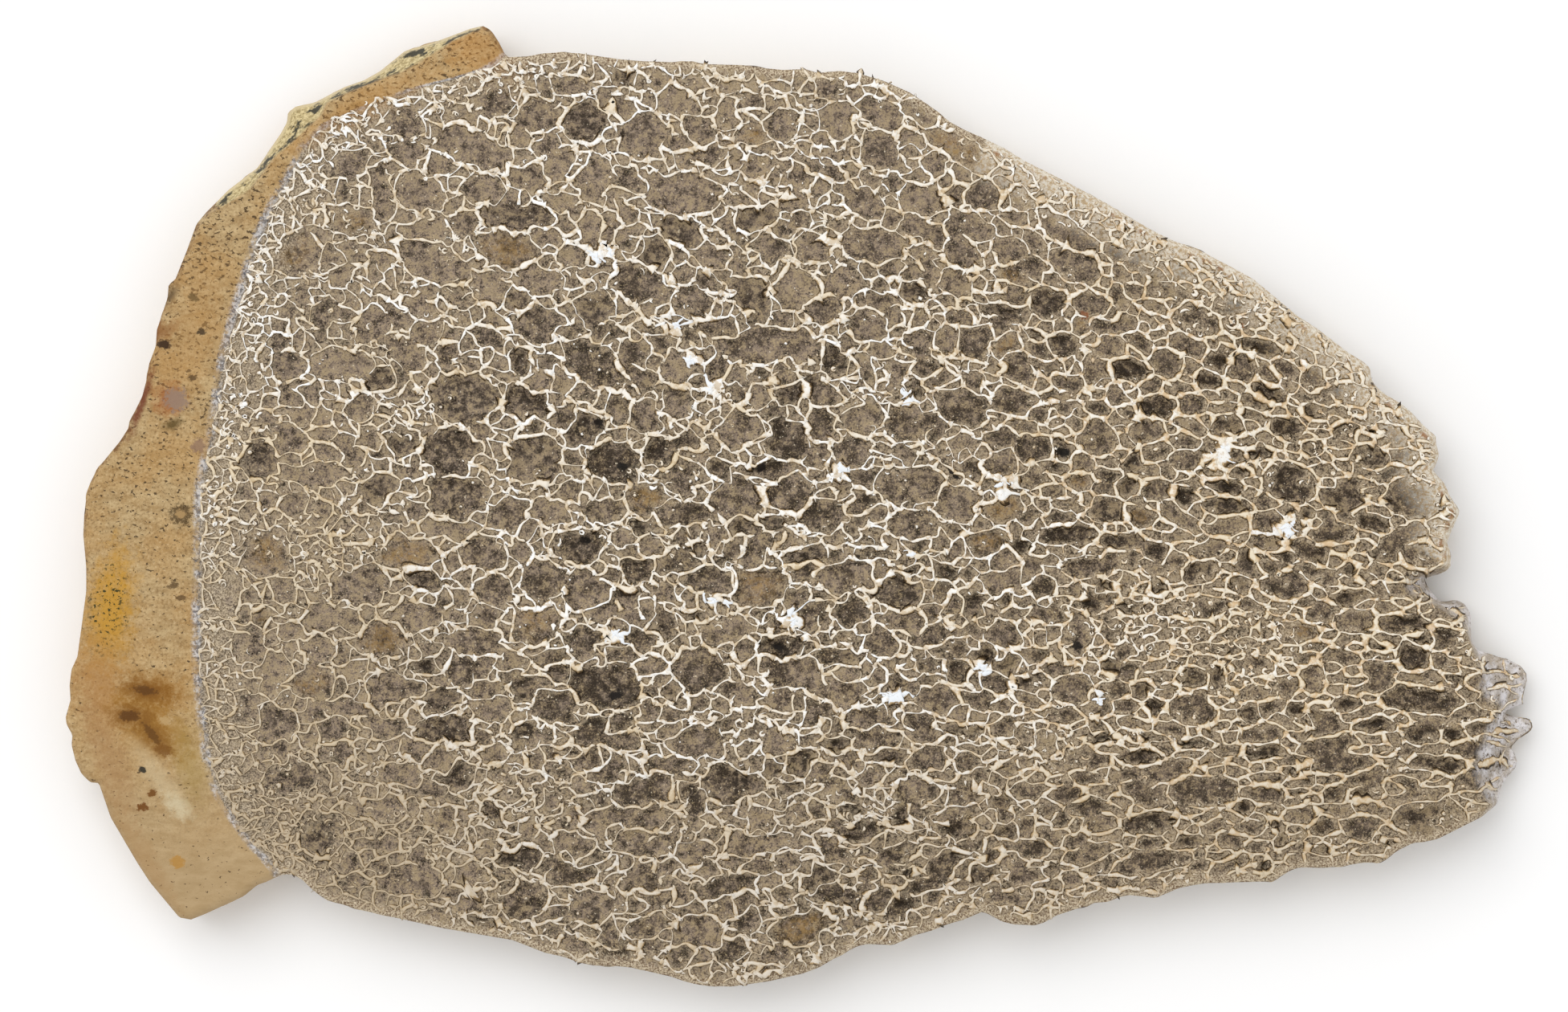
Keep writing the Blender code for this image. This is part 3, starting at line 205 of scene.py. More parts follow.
DARK_CELLS = (
    (-55.5, 4.5, 2.1, 2), (-49.2, -36.4, 1.2, 1), (-49, -33.2, 2.5, 2), (-43.4, 13, 1.2, 0.7),
    (-43.3, 1.7, 1.9, 1.4), (-42.9, 9.4, 0.8, 0.7), (-42.6, 5.6, 1, 0.7), (-40.6, 6.7, 1.8, 1.3, -40),
    (-38.6, -16.3, 1.1, 0.7), (-38, -7.7, 2.2, 1), (-36.9, -19.7, 2.2, 0.8), (-36.6, -22.9, 3.1, 1.4),
    (-35.9, 5.7, 2.8, 2.1), (-35.3, -27.8, 1.7, 1.2), (-35.1, 1.3, 3.4, 1.9, -8), (-34.7, 11, 3.6, 2.5),
    (-32.8, -42.5, 1.6, 0.9, -10), (-31.7, -31.5, 1.1, 1.3), (-29.4, 29.4, 3.5, 1.3), (-29, -35.9, 2.3, 1.1),
    (-28.9, 14.8, 1.2, 0.7), (-28.7, -23, 1.3, 0.5), (-28.4, -18.6, 1.1, 0.9), (-28.1, 10.4, 2.5, 1.8, -10),
    (-27.3, 4.9, 2.9, 2.4), (-25.4, -17.1, 1.9, 0.7), (-22.7, -4, 2.7, 1.5), (-22.4, 7.7, 2.2, 1.4, 25),
    (-22, 39.2, 2.2, 1.7), (-21.6, -21.8, 2, 0.5), (-21.2, 20, 2, 2), (-20, -18.4, 3.8, 2.3, -10),
    (-19.1, 4.3, 3, 2), (-18.3, 43.6, 1.4, 0.8), (-17.9, -9.2, 1.6, 0.9), (-16.7, -6.4, 1.7, 1.2),
    (-15.8, -2.2, 1.8, 0.9), (-15.5, -24.9, 0.7, 0.8), (-15.2, -18.9, 0.7, 1), (-15.1, 25.8, 1.3, 1.5),
    (-14.9, 5.4, 1.6, 1, -15), (-14.4, -11.7, 1.3, 0.8), (-13.2, -18.7, 1, 0.7), (-12.8, -6, 1.6, 1),
    (-12.8, 28.2, 2.7, 1.6, -20), (-11.5, -11.2, 1.1, 0.7), (-10.7, -4.5, 1.8, 0.9, -8), (-8, -5.8, 0.7, 0.7),
    (-7.4, -22.7, 0.7, 0.7), (-7.1, -28.3, 3.4, 1.8), (-6.3, 10.2, 1.1, 0.5), (-6.2, -2.4, 1.1, 0.7),
    (-6.1, 27, 0.7, 1.1), (-5.2, 21.4, 2.1, 2), (-4.6, 29.4, 2.1, 1.2), (-4.2, 3.6, 2.9, 0.8),
    (-2.9, -26.8, 1.1, 0.7), (-2.4, -14.4, 2.3, 1.1), (-2.4, -1.8, 2.3, 0.7), (-1.6, 6.8, 2.2, 1.9),
    (-1.1, -28.7, 1.6, 0.8, 20), (-1.1, 11.3, 1.7, 1), (-0.1, -26.1, 1.4, 1.2), (0, -40.7, 0.7, 0.6),
    (0.1, -5.1, 2, 0.6, 8), (1.9, -38, 2.1, 0.7, 10), (1.9, -9.2, 1.2, 0.7), (2.5, -13.6, 0.7, 0.9),
    (3.4, 14.7, 1.1, 1.6, 30), (3.5, -24.2, 1.5, 0.7), (4.5, -15.6, 1.9, 0.7), (4.8, -31.1, 1.6, 0.9, 8),
    (5.2, -40.1, 0.8, 0.7), (5.2, 11.9, 0.9, 0.5), (7, -33.1, 3.7, 0.7, 5), (8.6, -25.5, 2.3, 0.7, 5),
    (9.7, -35.5, 2, 0.7, 8), (9.7, -9, 2.6, 1.4, -5), (9.9, -31.4, 1.3, 0.7), (10.1, -37.3, 1.3, 0.4),
    (10.5, -40.9, 1.9, 0.7, 18), (10.5, -6.4, 1.2, 0.5), (11.7, 21.6, 1.7, 1.1, -15), (11.8, 11.7, 1.1, 0.8),
    (12.4, -38.7, 3, 0.6, 14), (12.9, -17.9, 0.8, 0.6), (14.6, -6.7, 1.4, 1.1), (14.7, -36.4, 2, 0.7, 12),
    (15.5, -2.8, 0.8, 0.7), (15.6, -33, 2.4, 0.7), (16.1, -16.9, 1.6, 0.7), (16.4, -22.8, 2.4, 0.8, -3),
    (17.5, -10.1, 1.2, 1.2), (18.2, -15.2, 1.1, 0.7), (18.6, -37.7, 1.5, 0.6, 8), (20.1, -28.1, 0.8, 0.4),
    (20.3, -30.4, 1, 1), (20.3, -9.9, 0.8, 0.7), (20.4, -33, 1.3, 0.5), (20.6, -16.2, 1.2, 0.7),
    (20.7, 19.8, 2.5, 0.9, -10), (22.2, -24.8, 0.8, 0.7), (22.2, -4.2, 0.9, 1), (23.5, -17.9, 1.6, 0.7),
    (23.6, 17.5, 0.8, 0.6), (25, 20.7, 1.9, 1.5, -25), (26.4, 3.8, 0.7, 0.7), (26.4, 5.8, 1.1, 1.2),
    (26.7, 16.4, 1.7, 1.3), (27.2, -3, 2.8, 1.1), (29.7, -9.7, 2, 0.5), (30.7, -23.8, 1.3, 0.6),
    (31, -0.5, 2, 1.4), (31.2, -8.3, 1, 0.6), (31.5, -16.2, 1.1, 0.7), (31.7, -12.8, 1.2, 1.3),
    (32.6, -3.7, 2.1, 0.7), (33, 1.9, 0.8, 1.1), (33.5, 13.8, 2, 1.2, -15), (33.7, 4.3, 0.7, 1.1),
    (33.9, -10.4, 1.8, 0.7), (34.3, -25.6, 2.2, 0.7, 2), (34.7, -19, 0.9, 0.9), (35.3, -32.4, 2.8, 1.1, 5),
    (35.8, -23.7, 1.2, 0.5), (36, -20.5, 1, 0.7, -15), (36.1, 10, 2.1, 1.1), (36.2, -8.2, 1, 1),
    (36.2, -4.8, 1.1, 0.9, -15), (39, 0.9, 0.9, 1.1), (39.3, -34.2, 1.4, 0.7, 10), (39.8, -17.6, 1.6, 1),
    (40, -24.2, 2, 0.5), (40.7, -6.8, 2, 1, 10), (41.5, 12.7, 1.4, 0.9, -15), (42.2, -14.6, 2.5, 0.6),
    (42.3, -17.4, 0.7, 1.1), (42.3, 14.6, 1.2, 0.8, -15), (42.4, -35.6, 1.1, 0.4), (43, 2.1, 2.2, 0.6, -8),
    (43.4, -0.1, 2.6, 1, -3), (43.6, 8.3, 1.6, 0.7, -20), (44.2, -13, 1.4, 0.5), (44.6, -8, 1.3, 0.7),
    (44.7, 3.4, 1.1, 0.5, -10), (45, -5.2, 0.8, 0.8), (45.1, -30.7, 1.1, 0.7, 15), (45.5, -21.1, 0.9, 1.1),
    (46.1, 9, 1.1, 0.5, -15), (46.5, 16.2, 2.5, 0.9, -15), (46.7, 5.2, 1.3, 0.7), (47.1, -36.7, 1, 0.4, 20),
    (47.3, -25.1, 2.2, 0.7, 5), (47.7, 11.4, 2, 0.9, -22), (48.7, -32.6, 0.7, 0.5), (48.8, -34.2, 0.7, 0.5),
    (49.2, -5.1, 1.1, 0.5), (49.5, 7.8, 1.7, 1.1, -25), (49.7, 2.3, 2.8, 2, -15), (49.9, -27.1, 0.9, 0.5),
    (50.3, -20.7, 1, 0.7), (50.6, -29.3, 1, 0.5), (51.4, -9.9, 0.7, 0.4), (51.5, -0.7, 0.9, 0.7, 10),
    (52.2, 5.8, 1.2, 0.6, -5), (52.3, 9.6, 1.4, 0.9, -10), (52.5, -5.2, 1.1, 0.5), (52.8, -35.1, 1.2, 0.5),
    (52.9, -21.6, 0.8, 0.7), (53.1, -32.8, 1.1, 0.7), (54, -29.3, 1.1, 0.7, 20), (55.1, 0.6, 2.2, 1, -5),
    (55.4, 7.6, 1.3, 0.9), (55.5, -20.2, 1.6, 0.7), (55.8, -6.5, 1, 0.5), (56, -9.4, 2.5, 0.6, 5),
    (57.3, -29.3, 1.6, 0.7, 5), (57.8, -36, 2.2, 0.4, 3), (58, 4.9, 1.9, 1.1, -10), (58, 7.6, 0.7, 0.5),
    (58.3, -1.8, 1.6, 0.8, -20), (58.5, -22.4, 2.1, 0.7), (58.6, -14.4, 1, 0.4), (59, -24.9, 0.8, 0.4),
    (59, -5.1, 1.4, 0.7, -10), (60.3, -34.5, 0.7, 0.3), (61.4, -12.1, 2.5, 0.9, -3), (61.6, -28.3, 1.2, 0.4),
    (62.2, -15.3, 1.7, 1.4), (62.4, 0.7, 3.1, 2.1, -5), (62.9, -13.5, 1, 0.4), (63.1, -19.8, 4.3, 1.3, -3),
    (63.2, -23.5, 1.7, 0.7), (64, -31.9, 3.8, 1.8, 4), (64.9, -26.2, 3.1, 0.8, -2), (66.4, -23.5, 0.8, 0.6),
    (66.4, -13.5, 1.7, 0.9, -8), (66.6, -17.6, 0.9, 0.5),
)
# Cells whose middle is ochre, and those with a small hole in it as well
OCHRE_CELLS = (
    (-54.7, -4.5, 2.4, 2.4), (-50.2, -18.2, 2, 1.6), (-45.7, 29, 2.9, 1.6, -15), (-40.4, -4.9, 3.5, 1.6),
    (-27.1, -11.9, 2.6, 1.8), (-16, 0.8, 1.9, 1.6), (-5, 37.9, 1.6, 1.1), (0.1, -43, 3, 1.5, 12),
    (4.5, -13.4, 1, 0.6), (15.8, 36.4, 4.1, 1.5, -32), (18.7, -3.7, 2.1, 1.3), (20.5, -0.3, 1.8, 1.4),
    (20.8, 16.4, 1, 0.9), (21.3, 23.3, 2, 1.1, -20), (28.5, 2.4, 1.4, 0.7), (28.5, 18.4, 0.9, 0.7),
    (41.6, -26.1, 1.3, 0.7), (50.5, -12.9, 2.2, 1.2),
)
HOLLOW_CELLS = (
    (-55, -11.4, 1.1, 0.4), (-51.9, 25.5, 2.2, 2.2), (-42.9, -13.7, 2.8, 1.5), (-30.2, 26.1, 3.4, 1.6, -8),
    (-4.4, -8.2, 2.8, 2), (34.5, -1.1, 1.4, 1.1),
)
grey_cells, dark_cells, ochre_cells, hollow_cells = (
    np.array([(*cell, 0)[:5] for cell in table], float)
    for table in (GREY_CELLS, DARK_CELLS, OCHRE_CELLS, HOLLOW_CELLS)
)

# The plan of the slab as a raster, whose lowest corner is at PLAN_CORNER
PITCH = 0.1
PLAN_CORNER = np.array([-77.0, -51.0])
PLAN_SHAPE = (1020, 1540)


def plan_index(points):
    """Row and column of the plan's square that holds each point."""
    column, row = np.floor((points - PLAN_CORNER) / PITCH).astype(int).T
    return np.clip(row, 0, PLAN_SHAPE[0] - 1), np.clip(column, 0, PLAN_SHAPE[1] - 1)


def plan_inside(loop):
    """The plan's squares inside a closed line: each row changes sides wherever the line crosses it."""
    changes = np.zeros((PLAN_SHAPE[0], PLAN_SHAPE[1] + 1), int)
    middle = PLAN_CORNER[1] + PITCH * (np.arange(PLAN_SHAPE[0]) + 0.5)
    for (x0, y0), (x1, y1) in zip(loop, np.roll(loop, -1, axis=0)):
        rows = np.flatnonzero((middle > min(y0, y1)) & (middle <= max(y0, y1)))
        x = x0 + (x1 - x0) * (middle[rows] - y0) / (y1 - y0 + (y1 == y0))
        columns = np.clip(np.ceil((x - PLAN_CORNER[0]) / PITCH - 0.5).astype(int), 0, PLAN_SHAPE[1])
        np.add.at(changes, (rows, columns), 1)
    return np.cumsum(changes, axis=1)[:, :-1] % 2 == 1


def nearest_on(points, line):
    """How far each point is from a line, and how many of the line's points come before that place."""
    distance = np.full(len(points), np.inf)
    place = np.zeros(len(points))
    for number, (start, end) in enumerate(zip(line, line[1:])):
        step = end - start
        along = np.clip((points - start) @ step / (step @ step), 0, 1)
        away = np.hypot(*(points - start - along[:, None] * step).T)
        nearer = away < distance
        distance[nearer] = away[nearer]
        place[nearer] = number + along[nearer]
    return distance, place


def inward(loop):
    """Unit normals of a clockwise line, pointing inwards, taken over four neighbours."""
    along = np.roll(loop, -2, axis=0) - np.roll(loop, 2, axis=0)
    normals = np.stack([along[:, 1], -along[:, 0]], axis=1)
    return normals / np.linalg.norm(normals, axis=1)[:, None]


outline = np.array(OUTLINE, float)
starts = [first for first, _, _ in STRETCHES] + [len(outline)]
lips = np.repeat([lip for _, lip, _ in STRETCHES], np.diff(starts))
for _ in range(2):
    lips = (np.roll(lips, 1) + lips + np.roll(lips, -1)) / 3
inset = outline + inward(outline) * WORN_CORNER
flat_edge = np.concatenate([
    np.array(crease or inset[first:after], float)
    for (first, _, crease), after in zip(STRETCHES, starts[1:])
])
outline_loop = np.vstack([outline, outline[:1]])
lip_loop = np.append(lips, lips[0])
flat_loop = np.vstack([flat_edge, flat_edge[:1]])
slab_plan = plan_inside(outline)
flat_plan = plan_inside(flat_edge)
rim_line = np.array(RIM_LINE, float)
rim_x, rim_y = rim_line[::-1].T


def face_height(points):
    """Height of the face: flat within its edge, and from there straight down to the lip."""
    to_lip, place = nearest_on(points, outline_loop)
    to_flat, _ = nearest_on(points, flat_loop)
    lip = np.interp(place, np.arange(len(lip_loop)), lip_loop)
    share = np.where(flat_plan[plan_index(points)], 1.0, to_lip / (to_lip + to_flat + 1e-9))
    return lip + (THICKNESS - lip) * share


def rim_depth(points):
    """How far each point lies inside the outer bone, negative in the spongy bone."""
    away, _ = nearest_on(points, rim_line)
    return np.where(points[:, 0] < np.interp(points[:, 1], rim_y, rim_x), away, -away)


# Long and short waves that bend every wall and cell a little: length and height of each in mm
WAVES = ((5.2, 0.22), (3.1, 0.2), (3.7, 0.2), (2.2, 0.15), (1.9, 0.13), (1.4, 0.1), (1.15, 0.085),
         (0.9, 0.065))
wave_rng = np.random.default_rng(88)
wave_turn = wave_rng.uniform(0, 2 * np.pi, (len(WAVES), 2))
wave_start = wave_rng.uniform(0, 2 * np.pi, (len(WAVES), 2))


def rise(values, low, high):
    """0 up to low, 1 from high on, and evenly between them; low may be the greater one."""
    return np.clip((values - low) / (high - low), 0, 1)


def bent(points, sign=1.0):
    """Points moved by the sum of the waves, one set for x and one for y, more calmly on the right."""
    moved = np.zeros(points.shape)
    calm = 1 - 0.6 * rise(points[:, 0], 10, 38)
    for (length, height), turn, start in zip(WAVES, wave_turn, wave_start):
        for axis in (0, 1):
            along = points[:, 0] * np.cos(turn[axis]) + points[:, 1] * np.sin(turn[axis])
            moved[:, axis] += height * np.sin(2 * np.pi * along / length + start[axis])
    return points + sign * calm[:, None] * moved


# Which way the cells lie: x, y, turn in degrees, and how many times longer than wide they are
GRAIN = (
    (-50, 30, -22, 1.4), (-48, -5, 0, 1.3), (-50, -30, 3, 1.6), (-25, 36, -20, 1.5), (-25, 15, -18, 1.4),
    (-25, -10, 0, 1.4), (-25, -35, 6, 1.9), (0, 35, -15, 1.5), (0, 10, -5, 1.4), (0, -15, 0, 1.5),
    (0, -40, 14, 1.9), (20, 30, -32, 1.7), (20, 5, -8, 1.4), (20, -15, -2, 1.5), (20, -35, 12, 1.9),
    (42, 18, -28, 1.9), (42, 0, -8, 1.8), (42, -20, 2, 2.2), (42, -34, 8, 2.2), (62, 8, -22, 2.0),
    (62, -6, -8, 2.2), (66, -20, 0, 3.0), (62, -31, 6, 2.6),
)
GRAIN_REACH = 11.0


def grain(points):
    """Turn and stretch of the cells at each point, weighted by closeness to the places above."""
    place = np.array(GRAIN, float)
    away = np.hypot(points[:, :1] - place[:, 0], points[:, 1:2] - place[:, 1])
    weight = 1 / (1 + (away / GRAIN_REACH) ** 4)
    weight /= weight.sum(axis=1, keepdims=True)
    return weight @ place[:, 2], (1.2 + 0.5 * rise(points[:, 0], 10, 40)) * (weight @ place[:, 3])


def in_cell(dx, dy, half_length, half_width, turn):
    """Places on the two axes of a cell: the step from its middle turned back, over its half sizes."""
    cosine, sine = np.cos(np.radians(turn)), np.sin(np.radians(turn))
    return (dx * cosine + dy * sine) / half_length, (dy * cosine - dx * sine) / half_width


def round_points(cells, counts, grow):
    """Points equally spaced in angle round each cell, widened by grow, and each one's cell number."""
    owner = np.repeat(np.arange(len(cells)), counts)
    number = np.arange(len(owner)) - np.repeat(np.cumsum(counts) - counts, counts)
    x, y, half_length, half_width, turn = cells[owner].T
    angle = 2 * np.pi * number / counts[owner] + 2.4 * owner
    u = np.maximum(half_length + grow, 0.03) * np.cos(angle)
    v = np.maximum(half_width + grow, 0.03) * np.sin(angle)
    cosine, sine = np.cos(np.radians(turn)), np.sin(np.radians(turn))
    return np.stack([x + u * cosine - v * sine, y + u * sine + v * cosine], axis=1), owner


def cover(plan, cell, grow, value):
    """Sets the plan's squares under one cell, widened by grow, to a value."""
    x, y, half_length, half_width, turn = cell
    reach = max(half_length, half_width) + grow
    (low_row, low_column), (high_row, high_column) = (
        [int(index[0]) for index in plan_index(np.array([[x + side, y + side]]))] for side in (-reach, reach)
    )
    window = plan[low_row:high_row + 1, low_column:high_column + 1]
    rows, columns = np.indices(window.shape)
    dx = PLAN_CORNER[0] + PITCH * (low_column + columns + 0.5) - x
    dy = PLAN_CORNER[1] + PITCH * (low_row + rows + 0.5) - y
    u, v = in_cell(dx, dy, half_length + grow, half_width + grow, turn)
    window[u * u + v * v < 1] = value


# Where the finest cells crowd: x, y and the half sizes of each patch
LACE = (
    (-47, 29.8, 4, 3.2), (-50.2, -3.7, 7, 4.5), (-49, -29.5, 8.5, 5.7), (-8.9, 10.2, 3.3, 2.2),
    (-28, -29, 7, 3.5), (-36, -34, 6, 2.5), (-22, -3, 4, 2), (6, 13, 3.5, 2.5), (-14, 3.5, 3.5, 2),
    (35, -12, 9, 4), (45, -15, 9, 5), (24, -24, 6, 4), (52, 5, 6, 4), (5, -30, 8, 3), (29, 30, 8, 3),
    (43, 20, 7, 3.5), (57, 10, 5, 3), (-35, 27, 3, 2), (-40, 9, 5, 3),
)
LACE_ELSEWHERE = 0.12
LACE_AT_RIM = 4.0
LACE_AT_EDGE = 2.6


def lace(points):
    """How readily the finest cells form: the sum of soft bumps over the patches, along the outer bone
    and along the outline, on a low level that holds everywhere."""
    readily = np.full(len(points), LACE_ELSEWHERE)
    for x, y, half_x, half_y in LACE:
        away = ((points[:, 0] - x) / half_x) ** 2 + ((points[:, 1] - y) / half_y) ** 2
        readily += 0.9 * np.exp(-away ** 2)
    readily += np.exp(-(rim_depth(points) / LACE_AT_RIM) ** 4)
    readily += 0.8 * np.exp(-(nearest_on(points, outline_loop)[0] / LACE_AT_EDGE) ** 4)
    return readily


# Small cells that fill the room left between the read ones: half width, spread of it, and tries
SMALL_CELLS = ((0.8, 0.15, 3000), (0.58, 0.1, 6000), (0.43, 0.07, 14000), (0.29, 0.05, 40000),
               (0.19, 0.03, 80000))
LEAST_HALF_WIDTH = 0.13
FINE_HALF_WIDTH = 0.4
TEST_POINTS = 12
WALL_GAP = 0.1
RIM_GAP = 0.25

rng = np.random.default_rng(4020)
read_cells = np.vstack([grey_cells, dark_cells, ochre_cells, hollow_cells])
rows, columns = np.indices(PLAN_SHAPE)
plan_x = PLAN_CORNER[0] + PITCH * (columns + 0.5)
plan_y = PLAN_CORNER[1] + PITCH * (rows + 0.5)
marrow_plan = slab_plan & (plan_x > np.interp(plan_y, rim_y, rim_x) + RIM_GAP)


def picked(plan, count):
    """Squares of the plan picked by chance where it is true, and the middle of each."""
    squares = rng.choice(np.flatnonzero(plan), count)
    return squares, np.stack([plan_x.flat[squares], plan_y.flat[squares]], axis=1)


free = marrow_plan.copy()
for cell in read_cells:
    cover(free, cell, WALL_GAP, False)
small = []
for half_width, spread, tries in SMALL_CELLS:
    _, middle = picked(free, tries)
    turn, stretch = grain(middle)
    width = np.maximum(LEAST_HALF_WIDTH, half_width + spread * rng.normal(size=tries))
    length = width * np.maximum(1.0, stretch * rng.uniform(0.65, 1.3, tries))
    tried = np.column_stack([middle, length, width, turn + rng.normal(0, 14, tries)])
    points, owner = round_points(tried, np.full(tries, TEST_POINTS), 0.0)
    clear = free[plan_index(points)].reshape(tries, TEST_POINTS).all(axis=1)
    fine_here = np.clip(lace(middle), 0, 0.97)
    clear &= rng.random(tries) < (1 - fine_here ** 2 if half_width > FINE_HALF_WIDTH else fine_here)
    for cell in tried[clear]:
        around, _ = round_points(cell[None], np.array([TEST_POINTS]), 0.0)
        if free[plan_index(around)].all():
            cover(free, cell, 2 * WALL_GAP, False)
            small.append(cell)
cells = np.vstack([read_cells, small])

# Points along the inside of each cell. The walls run midway between points of different cells.
SEED_INSET = 0.26
SEED_SPACING = 0.34
SEED_SHAKE = 0.04
RIM_INSET, RIM_SPACING = 0.32, 0.35
OUTSET, OUTER_SPACING = 0.25, 0.4
PULL = 0.4
RIM, OUTSIDE = len(cells), len(cells) + 1


def travelled(line):
    """How far along a line each of its points lies."""
    return np.append(0, np.cumsum(np.hypot(*np.diff(line, axis=0).T)))


def spaced(line, count):
    """The line as so many points at equal steps, both ends kept."""
    length = travelled(line)
    places = np.linspace(0, length[-1], count)
    return np.stack([np.interp(places, length, line[:, k]) for k in (0, 1)], axis=1)


half = np.maximum(cells[:, 2:4] - SEED_INSET, 0.03)
counts = np.maximum(3, np.ceil(np.pi * half.sum(axis=1) / SEED_SPACING)).astype(int)
seeds, owner = round_points(cells, counts, -SEED_INSET)
seeds += rng.normal(0, SEED_SHAKE, seeds.shape)
rim_seeds = rim_line - (RIM_INSET, 0)
rim_seeds = spaced(rim_seeds, int(travelled(rim_seeds)[-1] / RIM_SPACING) + 1)
outer_seeds = spaced(outline_loop, int(travelled(outline_loop)[-1] / OUTER_SPACING) + 1)
outer_seeds = outer_seeds - inward(outer_seeds) * OUTSET
seeds = np.vstack([seeds, rim_seeds, outer_seeds])
owner = np.concatenate([owner, np.full(len(rim_seeds), RIM), np.full(len(outer_seeds), OUTSIDE)])


def pulled(points, owners):
    """Moves each point towards the lobed ellipse round the largest of the cells that meet there."""
    area = np.append(cells[:, 2] * cells[:, 3], [0, 0])
    largest = owners[np.arange(len(owners)), area[owners].argmax(axis=1)]
    x, y, half_length, half_width, turn = np.vstack([cells, np.ones((2, 5))])[largest].T
    dx, dy = points[:, 0] - x, points[:, 1] - y
    u, v = in_cell(dx, dy, half_length + WALL_GAP, half_width + WALL_GAP, turn)
    angle = np.arctan2(v, u)
    lobed = 1 + 0.05 * np.sin(3 * angle + 7 * x) + 0.04 * np.sin(5 * angle + 5 * y)
    lobed += 0.02 * np.sin(9 * angle + 3 * x)
    change = np.clip(lobed / np.hypot(u, v), 0.75, 1.3) - 1
    change[largest >= len(cells)] = 0
    return points + PULL * change[:, None] * np.stack([dx, dy], axis=1)


def wall_paths(seeds, owner):
    """Chains of wall corners, each from one junction to the next, with the two cells on its sides.

    A corner is the point equally far from three seeds. Two corners are joined where their seeds
    share a side whose ends belong to different cells.
    """
    corners, _, faces, origins, _, _ = delaunay_2d_cdt([Vector(seed) for seed in seeds], [], [], 0, 1e-6)
    corners = np.array(corners)
    faces = np.array(faces)
    owner = owner[[ids[0] for ids in origins]]
    a, b, c = (corners[faces[:, k]] for k in range(3))
    ab, ac = b - a, c - a
    twice = 2 * (ab[:, 0] * ac[:, 1] - ab[:, 1] * ac[:, 0])
    square_ab, square_ac = (ab ** 2).sum(axis=1), (ac ** 2).sum(axis=1)
    centre = a + np.stack([ac[:, 1] * square_ab - ab[:, 1] * square_ac,
                           ab[:, 0] * square_ac - ac[:, 0] * square_ab], axis=1) / twice[:, None]
    centre = pulled(centre, owner[faces])
    sides = np.sort(faces[:, [[0, 1], [1, 2], [2, 0]]].reshape(-1, 2), axis=1)
    key = sides[:, 0] * len(corners) + sides[:, 1]
    order = np.argsort(key, kind="stable")
    shared = np.flatnonzero(key[order][1:] == key[order][:-1])
    first, second = order[shared], order[shared + 1]
    beside = owner[sides[first]]
    wall = (beside[:, 0] != beside[:, 1]) & (beside.max(axis=1) != OUTSIDE)
    links = defaultdict(list)
    for number, (one, other) in enumerate(zip(first[wall] // 3, second[wall] // 3)):
        links[one].append((other, number))
        links[other].append((one, number))
    beside = beside[wall]
    used = set()
    paths = []
    for start in [node for node in links if len(links[node]) != 2]:
        for node, number in links[start]:
            if number in used:
                continue
            used.add(number)
            chain = [start, node]
            while len(links[chain[-1]]) == 2:
                onward = [link for link in links[chain[-1]] if link[1] not in used]
                if not onward:
                    break
                used.add(onward[0][1])
                chain.append(onward[0][0])
            paths.append((centre[chain], beside[number], (chain[0], chain[-1])))
    return paths, {node for node in links if len(links[node]) > 2}


def eased(path, spacing, rounds):
    """The path at equal steps, each point moved towards its neighbours, with both ends kept."""
    path = spaced(path, max(3, int(travelled(path)[-1] / spacing) + 2))
    for _ in range(rounds):
        path[1:-1] = (path[:-2] + 2 * path[1:-1] + path[2:]) / 4
    return path


# Thick white knots in the web: x, y and radius
KNOTS = (
    (-20.8, 25.5, 1.3), (-12.8, 18.4, 1.2), (-11.5, 14.7, 0.9), (-9.3, 11.8, 0.8), (10.5, 11.4, 1.0),
    (43.0, 5.1, 1.6), (49.8, -2.0, 1.8), (11.1, -4.9, 1.0), (9.2, -19.3, 1.1), (-0.9, -11.7, 0.9),
    (-8.9, -9.7, 1.0), (3.8, 3.2, 1.0), (20.5, 2.4, 1.2), (30.3, -19.9, 0.9), (18.5, -16.4, 0.8),
    (-19.1, -13.1, 0.9),
)
KNOT_STATIONS, KNOT_HALF_WIDTH, KNOT_PALENESS_AND_GLINT = 8, 0.085, 1.3
KNOT_FLARE, MOST_FLARE = 3.2, 1.7
FINE_STEP = 0.15
EASING = 9
LEAST_LENGTH = 0.1
BIG_CELL = 1.0
BIG_CELL_BREAKS, SMALL_CELL_BREAKS = (0.015, 0.17), (0.07, 0.3)
UNCUT_LENGTH = 0.6
FULL_FLARE_LENGTH = 0.7
THIN_HALF_WIDTH, WIDENING, WIDEST_CELL = 0.07, 0.046, 1.5
STATION_STEP = 0.31
STATIONS = (3, 4, 6, 8, 11, 15, 20, 28, 40, 60)

strips = defaultdict(list)
knots = np.array(KNOTS)
flare_at = {}
cell_size = np.append(np.minimum(cells[:, 2], cells[:, 3]), [0.5, 0.5])


def broken_off(size, by_rim, length):
    """Which stretch of a wall is left, from 0 to 1, or nothing: a wall is gone, else cut, by chance."""
    gone, cut = BIG_CELL_BREAKS if size > BIG_CELL else SMALL_CELL_BREAKS
    if by_rim:
        gone, cut = 0.0, 0.0
    chance = rng.random()
    if chance < gone:
        return None
    if chance >= cut or length <= UNCUT_LENGTH:
        return 0.0, 1.0
    if rng.random() < 0.5:
        return 0.0, rng.uniform(0.4, 0.85)
    return rng.uniform(0.15, 0.6), 1.0


def flare(end, at):
    """How much wider a wall gets at a junction, drawn once for each junction."""
    if end not in flare_at:
        near = np.hypot(*(knots[:, :2] - at).T) < knots[:, 2]
        flare_at[end] = KNOT_FLARE if near.any() else min(MOST_FLARE, rng.lognormal(-0.55, 0.55))
    return flare_at[end]
